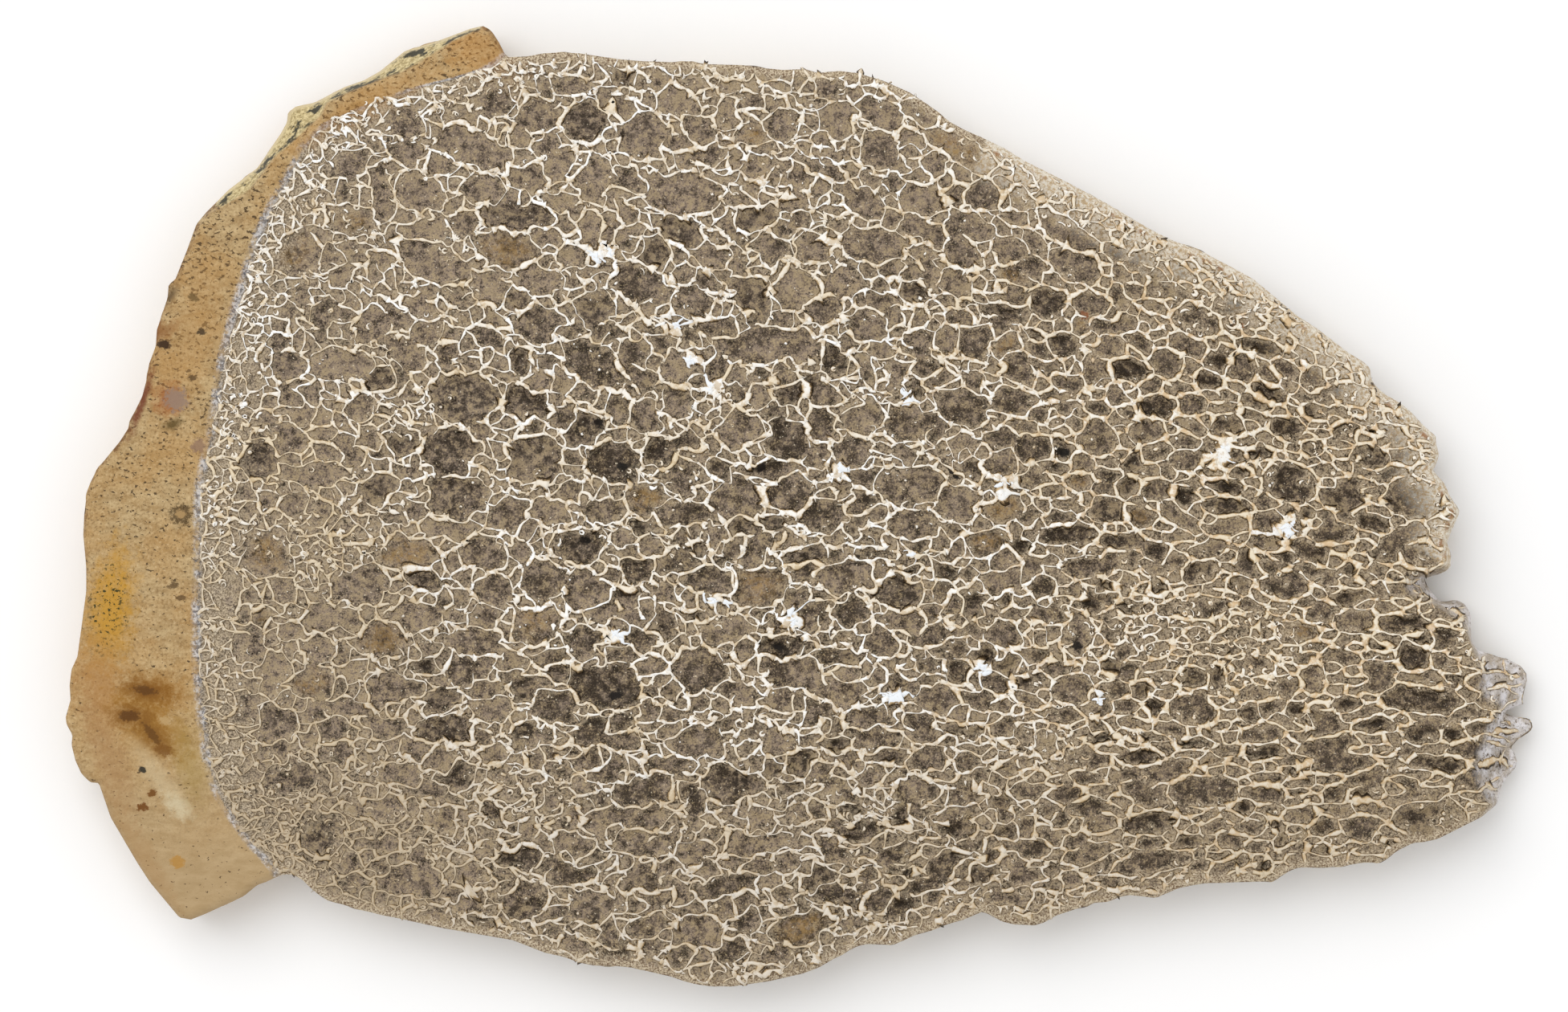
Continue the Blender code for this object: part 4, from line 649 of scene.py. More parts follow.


# A strip is a path, its length, half width and paleness (past 1 it is a painted glint), whether each end is
# free, and the ends' flares
paths, junctions = wall_paths(seeds, owner)
for path, sides, ends in paths:
    path = bent(eased(path, FINE_STEP, EASING))
    length = np.hypot(*np.diff(path, axis=0).T).sum()
    if length < LEAST_LENGTH or not np.isfinite(path).all():
        continue
    size = cell_size[sides]
    left_over = broken_off(size.max(), RIM in sides, length)
    if not left_over:
        continue
    low, high = left_over
    free_ends = [ends[0] not in junctions or low > 0, ends[1] not in junctions or high < 1]
    length *= high - low
    flares = []
    for end, at, is_free in zip(ends, (path[0], path[-1]), free_ends):
        flare_here = flare(end, at)
        flares.append(0.0 if is_free else flare_here * min(1.0, length / FULL_FLARE_LENGTH))
    x, y = path[0]
    leftwards = rise(x, -36, -48)
    half_width = (THIN_HALF_WIDTH + WIDENING * min(size.min(), WIDEST_CELL)) * rng.lognormal(0, 0.28)
    half_width *= 1 + 0.22 * rise(x, 15, 45) - 0.2 * leftwards
    pale = rng.normal(0.62, 0.28) - 0.3 * rise(x, 20, 45) - 0.5 * leftwards * (y < 10)
    # Walls that flare widest at a junction get paleness past 1, which the material paints as a bluish-white
    # glint
    pale = np.clip(pale, 0, 1) + 0.4 * (max(flares) > 1.9)
    count = next(count for count in STATIONS if count * STATION_STEP >= length or count == STATIONS[-1])
    places = np.linspace(low * (len(path) - 1), high * (len(path) - 1), count)
    path = np.stack([np.interp(places, np.arange(len(path)), path[:, k]) for k in (0, 1)], axis=1)
    strips[count].append((path, length, half_width, pale, free_ends, flares))


def arc(x, y, length, angle, turning, share, squash=1.0):
    """A short curved line: each point is its share of the length from x, y, at an angle that turns on."""
    heading = angle + turning * share
    along, aside = length * share, squash * length * share
    return np.stack([x + along * np.cos(heading), y + aside * np.sin(heading)], axis=1)


for x, y, reach in KNOTS:
    first = rng.uniform(0, 360)
    arms = int(rng.integers(3, 6))
    for number in range(arms):
        length = reach * rng.uniform(0.4, 1.0)
        angle = math.radians(first + 360 / arms * (number + rng.uniform(-0.3, 0.3)))
        curve = arc(x, y, length, angle, rng.normal(0, 0.6), np.linspace(0, 1, KNOT_STATIONS), 0.8)
        strips[KNOT_STATIONS].append((curve, length, KNOT_HALF_WIDTH, KNOT_PALENESS_AND_GLINT, [False, True],
                                      [rng.uniform(1.2, 2.2), 0.0]))


def scattered(squares, stations, draw_length, draw_angle, turning, spread, least_pale):
    """Short loose walls on the plan's squares, each free at both ends."""
    for x, y in zip(plan_x.flat[squares], plan_y.flat[squares]):
        length = draw_length()
        angle = math.radians(draw_angle())
        curve = arc(x, y, length, angle, rng.normal(0, turning), np.linspace(-0.5, 0.5, stations))
        half_width = LOOSE_HALF_WIDTH * rng.lognormal(0, spread)
        pale = rng.uniform(least_pale, 1.0)
        strips[stations].append((curve, length, half_width, pale, [True, True], [0.0, 0.0]))


# Curls in the lacy parts, kept off the outline, and specks all over
LOOSE_HALF_WIDTH = 0.075
CURLS = 1500
CURLS_OFF_EDGE = 1.0
SPECKS = 900
squares, middle = picked(marrow_plan, 6 * CURLS)
inside = nearest_on(middle, outline_loop)[0] > CURLS_OFF_EDGE
squares = squares[inside & (rng.random(len(squares)) < lace(middle) ** 2 * 0.6)][:CURLS]
scattered(squares, 6, lambda: rng.uniform(0.4, 1.1), lambda: rng.uniform(0, 360), 2.2, 0.25, 0.2)
squares, _ = picked(marrow_plan, SPECKS)
scattered(squares, 4, lambda: rng.lognormal(-1.2, 0.5), lambda: rng.normal(0, 40), 1.4, 0.3, 0.5)

FLARE_REACH = 0.26
UNEVEN = 0.27


def half_widths(rows, count):
    """Half width at each station: widest where walls meet, uneven, and rounded off at a free end."""
    length, half_width = (np.array([row[k] for row in rows])[:, None] for k in (1, 2))
    free_ends, flares = (np.array([row[k] for row in rows]) for k in (4, 5))
    share = np.linspace(0, 1, count)
    near, far = length * share, length * (1 - share)
    reach = FLARE_REACH * (1 + (flares > 1.8))
    wide = 1 + flares[:, :1] * np.exp(-(near / reach[:, :1]) ** 2)
    wide += flares[:, 1:] * np.exp(-(far / reach[:, 1:]) ** 2)
    uneven = rng.normal(size=(len(rows), count))
    uneven[:, 1:] += uneven[:, :-1]
    wide = np.clip(wide * (1 + UNEVEN * uneven), 0.45, 4.2)
    rounding = 1.3 * half_width + 0.03
    for free_end, away in ((free_ends[:, :1], near), (free_ends[:, 1:], far)):
        tip = np.sqrt(1 - (1 - np.clip(away / rounding, 0, 1)) ** 2)
        wide = np.where(free_end, 0.3 + 0.7 * tip, 1.0) * wide
    return half_width * wide


# Around a wall: how far out in half widths, how deep in mm, and how far from the crown in tone and painted
# shade
PROFILE = np.array(((2.5, -0.5, 1.0), (1.25, -0.1, 0.5), (0.75, 0.0, 0.0),
                    (-0.75, 0.0, 0.0), (-1.25, -0.1, 0.5), (-2.5, -0.5, 1.0)))
CROWN_DROP = (0.0, 0.05)

# The web is one, in four meshes by where a wall starts in x, to keep each of them light
WEB_PARTS = (("trabeculae_left", -80.0, -32.0), ("trabeculae_middle", -32.0, 2.0),
             ("trabeculae_right", 2.0, 35.0), ("trabeculae_end", 35.0, 80.0))


def set_mesh(name, vertices, loops, sizes, attributes):
    """A smooth mesh object from vertices in mm, each face's corner count, and values at the vertices."""
    mesh = bpy.data.meshes.new(name)
    mesh.vertices.add(len(vertices))
    mesh.vertices.foreach_set("co", (np.asarray(vertices) * MM).astype(np.float32).ravel())
    mesh.loops.add(len(loops))
    mesh.loops.foreach_set("vertex_index", np.asarray(loops, np.int32))
    mesh.polygons.add(len(sizes))
    mesh.polygons.foreach_set("loop_start", np.append(0, np.cumsum(sizes)[:-1]).astype(np.int32))
    mesh.polygons.foreach_set("loop_total", np.asarray(sizes, np.int32))
    mesh.polygons.foreach_set("use_smooth", np.full(len(sizes), True))
    for key, values in attributes.items():
        mesh.attributes.new(key, "FLOAT", "POINT").data.foreach_set("value", np.asarray(values, np.float32))
    mesh.update(calc_edges=True)
    made = bpy.data.objects.new(name, mesh)
    bpy.context.scene.collection.objects.link(made)
    return made


def web(name, groups):
    """Walls as closed tubes: the profile carried along each path, with a flat cap on both ends."""
    vertices, loops, sizes, edge, pale = [], [], [], [], []
    total = 0
    around = len(PROFILE)
    for path, half_width, paleness in groups:
        strips_here, count, _ = path.shape
        along = np.gradient(path, axis=1)
        along /= np.linalg.norm(along, axis=2, keepdims=True) + 1e-9
        left = np.stack([-along[..., 1], along[..., 0]], axis=-1)
        top = face_height(path.reshape(-1, 2)).reshape(strips_here, count)
        top = top - rng.uniform(*CROWN_DROP, (strips_here, 1))
        place = path[:, :, None] + left[:, :, None] * (half_width[:, :, None, None] * PROFILE[:, :1])
        height = top[:, :, None] + PROFILE[:, 1]
        vertices.append(np.concatenate([place, height[..., None]], axis=-1).reshape(-1, 3))
        number = total + np.arange(strips_here * count * around).reshape(strips_here, count, around)
        beside = np.roll(number, -1, axis=2)
        corners = [number[:, :-1], beside[:, :-1], beside[:, 1:], number[:, 1:]]
        quads = np.stack(corners, axis=-1).reshape(-1, 4)
        caps = np.vstack([number[:, 0, ::-1], number[:, -1]])
        loops += [quads.ravel(), caps.ravel()]
        sizes += [np.full(len(quads), 4), np.full(len(caps), around)]
        edge.append(np.broadcast_to(PROFILE[:, 2], number.shape).ravel())
        pale.append(np.broadcast_to(paleness[:, None, None], number.shape).ravel())
        total += number.size
    return set_mesh(name, np.vstack(vertices), np.concatenate(loops), np.concatenate(sizes),
                    {"edge": np.concatenate(edge), "pale": np.concatenate(pale)})


stations = [(np.array([row[0] for row in rows]), half_widths(rows, count), np.array([row[3] for row in rows]))
            for count, rows in sorted(strips.items())]
web_parts = []
for name, low, high in WEB_PARTS:
    groups = []
    for path, half_width, pale in stations:
        here = (path[:, 0, 0] >= low) & (path[:, 0, 0] < high)
        if here.any():
            groups.append((path[here], half_width[here], pale[here]))
    part = web(name, groups)
    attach(part, "root")
    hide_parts("bone_slab")
    web_parts.append(part)


def colour(red, green, blue):
    """Linear colour with full alpha from screen values of 0 to 255."""
    linear = [((c / 255 + 0.055) / 1.055) ** 2.4 if c > 10 else c / 255 / 12.92 for c in (red, green, blue)]
    return (*linear, 1.0)


def add(kind, inputs, **settings):
    """A shader node in the tree of the sockets that feed it, its other inputs given as values."""
    tree = next(value.id_data for value in inputs.values() if isinstance(value, bpy.types.NodeSocket))
    made = tree.nodes.new(kind)
    for key, value in settings.items():
        setattr(made, key, value)
    for key, value in inputs.items():
        if isinstance(value, bpy.types.NodeSocket):
            tree.links.new(value, made.inputs[key])
        else:
            made.inputs[key].default_value = value
    return made


def mix(factor, first, second):
    """One colour faded to another."""
    return add("ShaderNodeMix", {0: factor, 6: first, 7: second}, data_type="RGBA").outputs[2]


def between(value, low, high, to_low=0.0, to_high=1.0):
    """A value faded from one number to another as it goes from low to high."""
    return add("ShaderNodeMapRange", {0: value, 1: low, 2: high, 3: to_low, 4: to_high}).outputs[0]


def times(first, second):
    """The product of two values."""
    return add("ShaderNodeMath", {0: first, 1: second}, operation="MULTIPLY").outputs[0]


def plus(first, second):
    """The sum of two values."""
    return add("ShaderNodeMath", {0: first, 1: second}, operation="ADD").outputs[0]


def shaken(value, wave, amount):
    """A value moved up and down by a noise: the noise less one half, times the amount, is added."""
    moved = add("ShaderNodeMath", {0: wave, 1: amount, 2: value}, operation="MULTIPLY_ADD").outputs[0]
    return plus(moved, -0.5 * amount)


def noise(place, scale, detail=4.0, rough=0.55, stretch=None):
    """Cloudy noise whose scale counts blobs per mm, drawn out along x after a turn where asked."""
    if stretch:
        times_longer, turn = stretch
        settings = {0: place, 2: (0, 0, math.radians(turn)), 3: (1, times_longer, 1)}
        place = add("ShaderNodeMapping", settings).outputs[0]
    cloud = add("ShaderNodeTexNoise", {"Vector": place, "Scale": scale, "Detail": detail, "Roughness": rough})
    return cloud.outputs[0]


def across(place, low, high):
    """0 to 1 as x goes from low to high."""
    return between(add("ShaderNodeSeparateXYZ", {0: place}).outputs[0], low, high)


def up(place, low, high):
    """0 to 1 as y goes from low to high."""
    return between(add("ShaderNodeSeparateXYZ", {0: place}).outputs[1], low, high)


def stone(name, *values):
    """A stone's material, its shader, the place on the object in mm, and the mesh's named values."""
    material = bpy.data.materials.new(name)
    material.use_nodes = True
    nodes = material.node_tree.nodes
    metres = nodes.new("ShaderNodeTexCoord").outputs["Object"]
    place = add("ShaderNodeVectorMath", {0: metres, "Scale": 1 / MM}, operation="SCALE").outputs[0]
    read = []
    for value in values:
        made = nodes.new("ShaderNodeAttribute")
        made.attribute_name = value
        read.append(made.outputs["Fac"])
    return material, nodes["Principled BSDF"], place, *read


def finish(shader, tint, roughness, height, strength, distance):
    """Gives a stone's shader its colour, its dull gloss, and fine relief from a noise."""
    links = shader.id_data.links
    links.new(tint, shader.inputs["Base Color"])
    shader.inputs["Roughness"].default_value = roughness
    shader.inputs["Specular IOR Level"].default_value = 0.15
    bump = add("ShaderNodeBump", {"Height": height, "Strength": strength, "Distance": distance})
    links.new(bump.outputs[0], shader.inputs["Normal"])


# The struts: cream crowns, whiter at the knots where a bluish-white glint is painted on, with tan flanks that
# are partly the walls' own fringe and partly painted shading, and painted shade at their feet
material, shader, place, edge, pale = stone("trabecular_bone", "edge", "pale")
grainy = noise(place, 2.2, 5, 0.75)
worn = noise(place, 3.2, 3, 0.6)
to_right = across(place, 5, 40)
crown = mix(pale, colour(232, 217, 191), colour(255, 255, 253))
crown = mix(between(noise(place, 0.15, 4, 0.6), 0.46, 0.62, 0.0, 0.5), crown, colour(218, 198, 162))
crown = mix(times(to_right, 0.4), crown, colour(234, 222, 198))
tanned = mix(to_right, colour(196, 170, 128), colour(208, 170, 118))
crown = mix(between(noise(place, 1.1, 4, 0.65), 0.5, 0.6, 0.0, 0.65), crown, tanned)
lower_left = times(across(place, -28, -42), up(place, 4, -14))
dull = plus(times(up(place, -20, -32), 0.5), times(lower_left, 0.45))
crown = mix(dull, crown, colour(190, 172, 144))
# Painted highlight: paleness past 1, at the knots and where walls flare most, becomes a bluish-white glint
# painted into the crown
crown = mix(between(pale, 1.0, 1.3), crown, colour(238, 242, 246))
# The flanks: tan that is partly the walls' own fringe and partly painted shading down the bead, then painted
# shade at the foot where a wall meets the sunken fill
flank = mix(between(grainy, 0.35, 0.65), colour(150, 122, 84), colour(206, 178, 134))
dark = mix(between(grainy, 0.4, 0.6), colour(46, 36, 24), colour(98, 80, 58))
flank = mix(between(shaken(edge, worn, 0.8), 0.48, 0.7), flank, dark)
off_crown = plus(shaken(shaken(edge, grainy, 1.0), worn, 1.2), times(to_right, 0.12))
finish(shader, mix(between(off_crown, 0.22, 0.5), crown, flank), 0.5, grainy, 0.25, 0.0001)
for part in web_parts:
    part.data.materials.append(material)


# The slab: a slice sawn across the same bone, stone all through. The tan band on the left is the
# dense outer bone, the rest is spongy bone with grey-brown chalcedony in its cells. Its face is sawn
# flat and rubbed, and its side, back and right end are left as they broke.

# The face is a grid stretched between four stretches of the outline
CORNERS = ((-62.7, 26.1), (45.9, 23.3), (71.6, -29.0), (-62.3, -42.2))
COLUMNS, ROWS = 350, 215
RELAXING = 200


def side(first, last, count):
    """Equally spaced points along the outline, clockwise from one corner to the next."""
    start, end = [int(np.hypot(*(outline - corner).T).argmin()) for corner in (first, last)]
    return spaced(np.roll(outline, -start, axis=0)[:(end - start) % len(outline) + 1], count)


top = side(CORNERS[0], CORNERS[1], COLUMNS)
right = side(CORNERS[1], CORNERS[2], ROWS)[::-1]
bottom = side(CORNERS[2], CORNERS[3], COLUMNS)[::-1]
left = side(CORNERS[3], CORNERS[0], ROWS)
u = np.linspace(0, 1, COLUMNS)[None, :, None]
v = np.linspace(0, 1, ROWS)[:, None, None]
grid = (1 - v) * bottom + v * top + (1 - u) * left[:, None] + u * right[:, None]
grid -= (1 - v) * ((1 - u) * bottom[0] + u * bottom[-1]) + v * ((1 - u) * top[0] + u * top[-1])

# The grid relaxes until its squares keep their order also beside notches in the outline
for _ in range(RELAXING):
    along = (grid[1:-1, 2:] - grid[1:-1, :-2]) / 2
    over = (grid[2:, 1:-1] - grid[:-2, 1:-1]) / 2
    twist = (grid[2:, 2:] - grid[2:, :-2] - grid[:-2, 2:] + grid[:-2, :-2]) / 4
    alpha, beta, gamma = ((one * other).sum(axis=2, keepdims=True) for one, other in
                          ((over, over), (along, over), (along, along)))
    sideways = alpha * (grid[1:-1, 2:] + grid[1:-1, :-2])
    upwards = gamma * (grid[2:, 1:-1] + grid[:-2, 1:-1])
    grid[1:-1, 1:-1] = (sideways + upwards - 2 * beta * twist) / (2 * (alpha + gamma))
places = grid.reshape(-1, 2)

# How far the nearest wall is, on the plan: steps to the four sides and the four corners of a square
WALL_REACH = 1.2
STEPS = (((0, 1), 0.1), ((1, 0), 0.1), ((1, 1), 0.1414), ((1, -1), 0.1414))
STATION_PARTS = 5
near_wall = np.full(PLAN_SHAPE, 99.0)
for path, _, _ in stations:
    fine = np.linspace(0, path.shape[1] - 1, path.shape[1] * STATION_PARTS)
    low = np.floor(fine).astype(int).clip(0, path.shape[1] - 2)
    share = (fine - low)[None, :, None]
    dense = path[:, low] * (1 - share) + path[:, low + 1] * share
    near_wall[plan_index(dense.reshape(-1, 2))] = 0.0
for _ in range(round(WALL_REACH / PITCH)):
    for shift, cost in STEPS:
        for sign in (1, -1):
            moved = np.roll(near_wall, (sign * shift[0], sign * shift[1]), axis=(0, 1))
            near_wall = np.minimum(near_wall, moved + cost)
near_wall = np.minimum(near_wall, WALL_REACH)


def blurred(values, squares, rounds):
    """The plan's values averaged over a square window, several times: differences of running sums."""
    for _ in range(rounds):
        for axis in (0, 1):
            total = np.cumsum(values, axis=axis)
            values = np.roll(total, -squares, axis=axis) - np.roll(total, squares + 1, axis=axis)
            values = values / (2 * squares + 1)
    return values


crowded = blurred((near_wall < 0.15).astype(float), 5, 2)
cell_tone = np.full(PLAN_SHAPE, 0.5)
for cell in cells:
    cover(cell_tone, cell, 0.12, np.clip(rng.normal(0.5, 0.27), 0, 1))


def read_plan(values, points):
    """A value of the plan at each point, from its four nearest squares."""
    column, row = ((points - PLAN_CORNER) / PITCH - 0.5).T
    low_column = np.clip(column.astype(int), 0, PLAN_SHAPE[1] - 2)
    low_row = np.clip(row.astype(int), 0, PLAN_SHAPE[0] - 2)
    x, y = column - low_column, row - low_row
    return ((values[low_row, low_column] * (1 - x) + values[low_row, low_column + 1] * x) * (1 - y)
            + (values[low_row + 1, low_column] * (1 - x) + values[low_row + 1, low_column + 1] * x) * y)


def inside_cells(points, chosen, inner, outer):
    """1 inside the chosen cells, falling to 0 between the two shares of their size."""
    most = np.zeros(len(points))
    for x, y, *cell in chosen:
        u, v = in_cell(points[:, 0] - x, points[:, 1] - y, *cell)
        most = np.maximum(most, rise(np.hypot(u, v), outer, inner))
    return most


# How deep the face sinks between the walls, in mm
FILL_DROP = 0.27
FILLED_DEPTH = 0.2
HOLLOW_DEPTH = 0.55
HOLE_DEPTH = 0.8
HOLE_RADIUS = 0.4
FIRM_EDGE = 0.8
SLOPE_BLEND = 1.0
SHORE_REACH = 7

# Stretches of the outline by its points: the pale band at the upper right, the break and the weathered strip
BAND_STRETCH = (26, 63)
BREAK_STRETCH = (63.5, 96.5)
WEATHERED_FROM = STRETCHES[-1][0] - 0.5

wall = read_plan(near_wall, places)
crowd = read_plan(crowded, places)
unbent = bent(places, -1.0)
gloom = inside_cells(unbent, dark_cells, 0.35, 1.15)
ochre = inside_cells(unbent, [*ochre_cells, *hollow_cells], 0.3, 0.95)
tone = read_plan(cell_tone, unbent)
hole = inside_cells(unbent, [(x, y, HOLE_RADIUS, HOLE_RADIUS, 0) for x, y, *_ in hollow_cells], 0.5, 1.1)
marrow = rise(-rim_depth(places), 0, 0.4)
sunk = marrow * (FILL_DROP + FILLED_DEPTH * np.clip((wall - 0.15) / 0.8, 0, 1) ** 0.7
                 + HOLLOW_DEPTH * gloom * rise(wall, 0, 0.7) + HOLE_DEPTH * hole)
to_lip, place = nearest_on(places, outline_loop)
to_flat, _ = nearest_on(places, flat_loop)
height = face_height(places) - sunk * rise(to_lip, 0, FIRM_EDGE)
slope = np.where(flat_plan[plan_index(places)], 0.0, rise(to_flat, 0, SLOPE_BLEND))
shore = np.clip(to_lip, 0, SHORE_REACH)
banded = ((place >= BAND_STRETCH[0]) & (place <= BAND_STRETCH[1])).astype(float)
weathered = slope * (place >= WEATHERED_FROM)
broken = slope * ((place >= BREAK_STRETCH[0]) & (place <= BREAK_STRETCH[1]))

# The side, ring by ring from the face's border down to the back: share of the height, and setback
SIDE_RINGS = ((0.93, 0.02), (0.84, 0.05), (0.74, 0.08), (0.64, 0.11), (0.53, 0.16), (0.42, 0.22),
              (0.31, 0.29), (0.2, 0.35), (0.1, 0.41), (0.0, 0.45))
SIDE_ROUGHNESS = 0.16
number = np.arange(ROWS * COLUMNS).reshape(ROWS, COLUMNS)
border = np.concatenate([number[0, :-1], number[:-1, -1], number[-1, :0:-1], number[:0:-1, 0]])
levels = len(SIDE_RINGS)
rough = rng.normal(0, 1, (levels, len(border)))
for _ in range(3):
    rough = (np.roll(rough, 1, axis=1) + rough + np.roll(rough, -1, axis=1)) / 3
share, setback = np.array(SIDE_RINGS).T[..., None]
back_in = setback + SIDE_ROUGHNESS * rough * (share > 0)
rings = places[border] - inward(places[border]) * back_in[..., None]
side_points = np.concatenate([rings, (height[border] * share)[..., None]], axis=-1).reshape(-1, 3)

vertices = np.vstack([np.column_stack([places, height]), side_points])
quads = np.stack([number[:-1, :-1], number[:-1, 1:], number[1:, 1:], number[1:, :-1]], axis=-1).reshape(-1, 4)
ring_number = np.vstack([border, ROWS * COLUMNS + np.arange(levels * len(border)).reshape(levels, -1)])
beside = np.roll(ring_number, -1, axis=1)
walls = np.stack([ring_number[:-1], ring_number[1:], beside[1:], beside[:-1]], axis=-1).reshape(-1, 4)
back = ring_number[-1][::-1]
loops = np.concatenate([quads.ravel(), walls.ravel(), back])
sizes = np.concatenate([np.full(len(quads) + len(walls), 4), [len(back)]])
at_vertices = {"wall": wall, "crowd": crowd, "tone": tone, "gloom": gloom, "ochre": ochre,
               "shore": shore, "banded": banded, "weathered": weathered, "broken": broken}
slab = set_mesh("slab", vertices, loops, sizes, {
    key: np.concatenate([values, np.tile(values[border], levels)]) for key, values in at_vertices.items()
})
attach(slab, "root")
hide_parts("bone_slab")
kinds = np.repeat([0, 1], [len(quads), len(walls) + 1]).astype(np.int32)
slab.data.polygons.foreach_set("material_index", kinds)

# Marks on the face: x, y, half length, half width, turn, how far they cover, and their colour.
# First the broad stains, then the pits and dark holes.
STAINS = (
    (-64.4, 10.8, 1.6, 1.6, 0, 0.9, (150, 82, 34)), (-64.1, 8.3, 1.1, 0.55, 20, 0.9, (82, 66, 28)),
    (-67.3, 10.5, 3.5, 0.5, 71, 0.9, (110, 54, 30)), (-65.9, 18.5, 2.6, 0.4, 75, 0.8, (116, 68, 32)),
    (-65.2, 17.6, 1.8, 0.8, 30, 0.7, (126, 78, 38)), (-64.3, 21.4, 1.2, 0.5, 50, 0.9, (92, 74, 50)),
    (-70.4, -10.6, 2.3, 6, -8, 0.85, (190, 140, 42)), (-71.4, -18.5, 2.6, 5, 10, 0.65, (168, 122, 70)),
    (-70.5, -26, 1.6, 6, 20, 0.5, (160, 122, 80)), (-67.6, -35, 1.2, 7, 32, 0.5, (166, 130, 86)),
    (-66.3, -19.1, 3.4, 2, -8, 0.95, (150, 104, 36)), (-66.5, -22.4, 4.4, 2.4, -40, 0.95, (156, 112, 44)),
    (-65.4, -27.9, 4.2, 1.1, -54, 0.5, (202, 182, 144)), (-63.6, -30.6, 1.7, 1, -40, 0.7, (206, 192, 158)),
    (-62.5, -26, 1.6, 4.5, 12, 0.5, (160, 132, 70)), (-66.8, -18.9, 2.4, 1.2, -10, 0.85, (122, 78, 24)),
    (-68.3, -21.4, 2.2, 1.2, 0, 0.85, (124, 80, 26)), (-66.1, -23.3, 2.5, 1.2, -50, 0.8, (126, 84, 30)),
    (-33, 46.5, 4.5, 2.4, -30, 0.35, (186, 130, 60)), (-62, 18, 3, 8, -15, 0.4, (178, 134, 76)),
    (-45, 40.5, 9, 1.5, 28, 0.4, (186, 136, 72)),
)
PITS = (
    (-63.8, 10.8, 1.25, 1.25, 0, 0.9, (146, 122, 104)), (-61.5, 6.1, 0.75, 0.75, 0, 0.9, (146, 116, 92)),
    (-61.2, 17.7, 0.5, 0.35, 10, 0.9, (62, 48, 30)), (-62.2, 13, 0.45, 0.35, 0, 0.85, (84, 62, 34)),
    (-65, 16.4, 0.8, 0.45, -10, 0.95, (52, 32, 16)), (-62, 21.2, 0.6, 0.35, -30, 0.8, (98, 76, 40)),
    (-63.3, -0.9, 1.15, 1.05, 0, 0.85, (76, 56, 28)), (-63.3, -0.9, 0.6, 0.5, 0, 0.9, (170, 138, 92)),
    (-64.1, -8.1, 0.6, 0.35, 20, 0.85, (92, 70, 42)), (-63.3, -9.4, 0.6, 0.3, 0, 0.85, (96, 72, 42)),
    (-66.9, -18.8, 1.3, 0.45, -10, 0.75, (86, 52, 14)), (-68.6, -21.4, 1.1, 0.6, 0, 0.75, (82, 48, 12)),
    (-66.3, -23.2, 1.4, 0.4, -50, 0.7, (90, 56, 16)), (-65.1, -24.9, 0.9, 0.6, 0, 0.8, (118, 76, 24)),
    (-64.9, -21.9, 0.6, 0.5, 0, 0.7, (188, 158, 110)), (-67.2, -26.9, 0.4, 0.35, 0, 0.95, (44, 42, 34)),
    (-66.2, -29.3, 0.55, 0.35, 30, 0.95, (112, 70, 22)), (-67.2, -30.7, 0.7, 0.4, 10, 0.95, (110, 66, 18)),
    (-63.6, -36.3, 0.75, 0.65, 0, 0.8, (176, 128, 54)), (26.5, 5.5, 0.9, 0.5, -20, 0.95, (22, 18, 14)),
    (-22.2, -3.5, 0.7, 0.45, 0, 0.95, (26, 20, 15)), (-20.8, 8.5, 0.6, 0.5, 30, 0.95, (26, 20, 15)),
    (-18.3, 4, 0.7, 0.4, 0, 0.95, (24, 20, 15)), (-19.1, -19.3, 0.8, 0.5, 20, 0.95, (26, 20, 15)),
    (-2.4, -14.4, 0.7, 0.5, 0, 0.95, (26, 20, 15)), (-4.2, 4, 0.6, 0.6, 0, 0.95, (24, 18, 14)),
    (15.3, 3.5, 1.2, 0.3, -50, 0.95, (22, 18, 14)), (27.9, -14.2, 0.7, 0.5, 0, 0.95, (24, 20, 16)),
    (34.5, 9.6, 0.7, 0.5, -20, 0.95, (24, 20, 16)), (44.2, 20.6, 0.8, 0.4, -30, 0.95, (24, 20, 16)),
    (44.5, 18.3, 0.5, 0.4, 0, 0.9, (190, 110, 40)), (28.7, 19.4, 0.6, 0.4, 0, 0.8, (140, 84, 50)),
)
MOSS = (-70.8, -10.8, 2.0, 5.0, -8)
RAGGED = 2.4


def mark(place, wave, low, high, spot):
    """An ellipse, full within the low share of its size and gone at the high one, its edge ragged."""
    x, y, half_length, half_width, turn = spot
    cosine, sine = math.cos(math.radians(turn)), math.sin(math.radians(turn))
    axes = ((cosine / half_length, sine / half_length, 0), (-sine / half_width, cosine / half_width, 0))
    along, aside = (add("ShaderNodeVectorMath", {0: place, 1: axis}, operation="DOT_PRODUCT").outputs["Value"]
                    for axis in axes)
    middle = [axis[0] * x + axis[1] * y for axis in axes] + [0]
    laid = add("ShaderNodeCombineXYZ", {0: along, 1: aside}).outputs[0]
    size = add("ShaderNodeVectorMath", {0: laid, 1: middle}, operation="DISTANCE").outputs["Value"]
    size = add("ShaderNodeMath", {0: wave, 1: RAGGED, 2: size}, operation="MULTIPLY_ADD").outputs[0]
    return between(size, high + RAGGED / 2, low + RAGGED / 2)


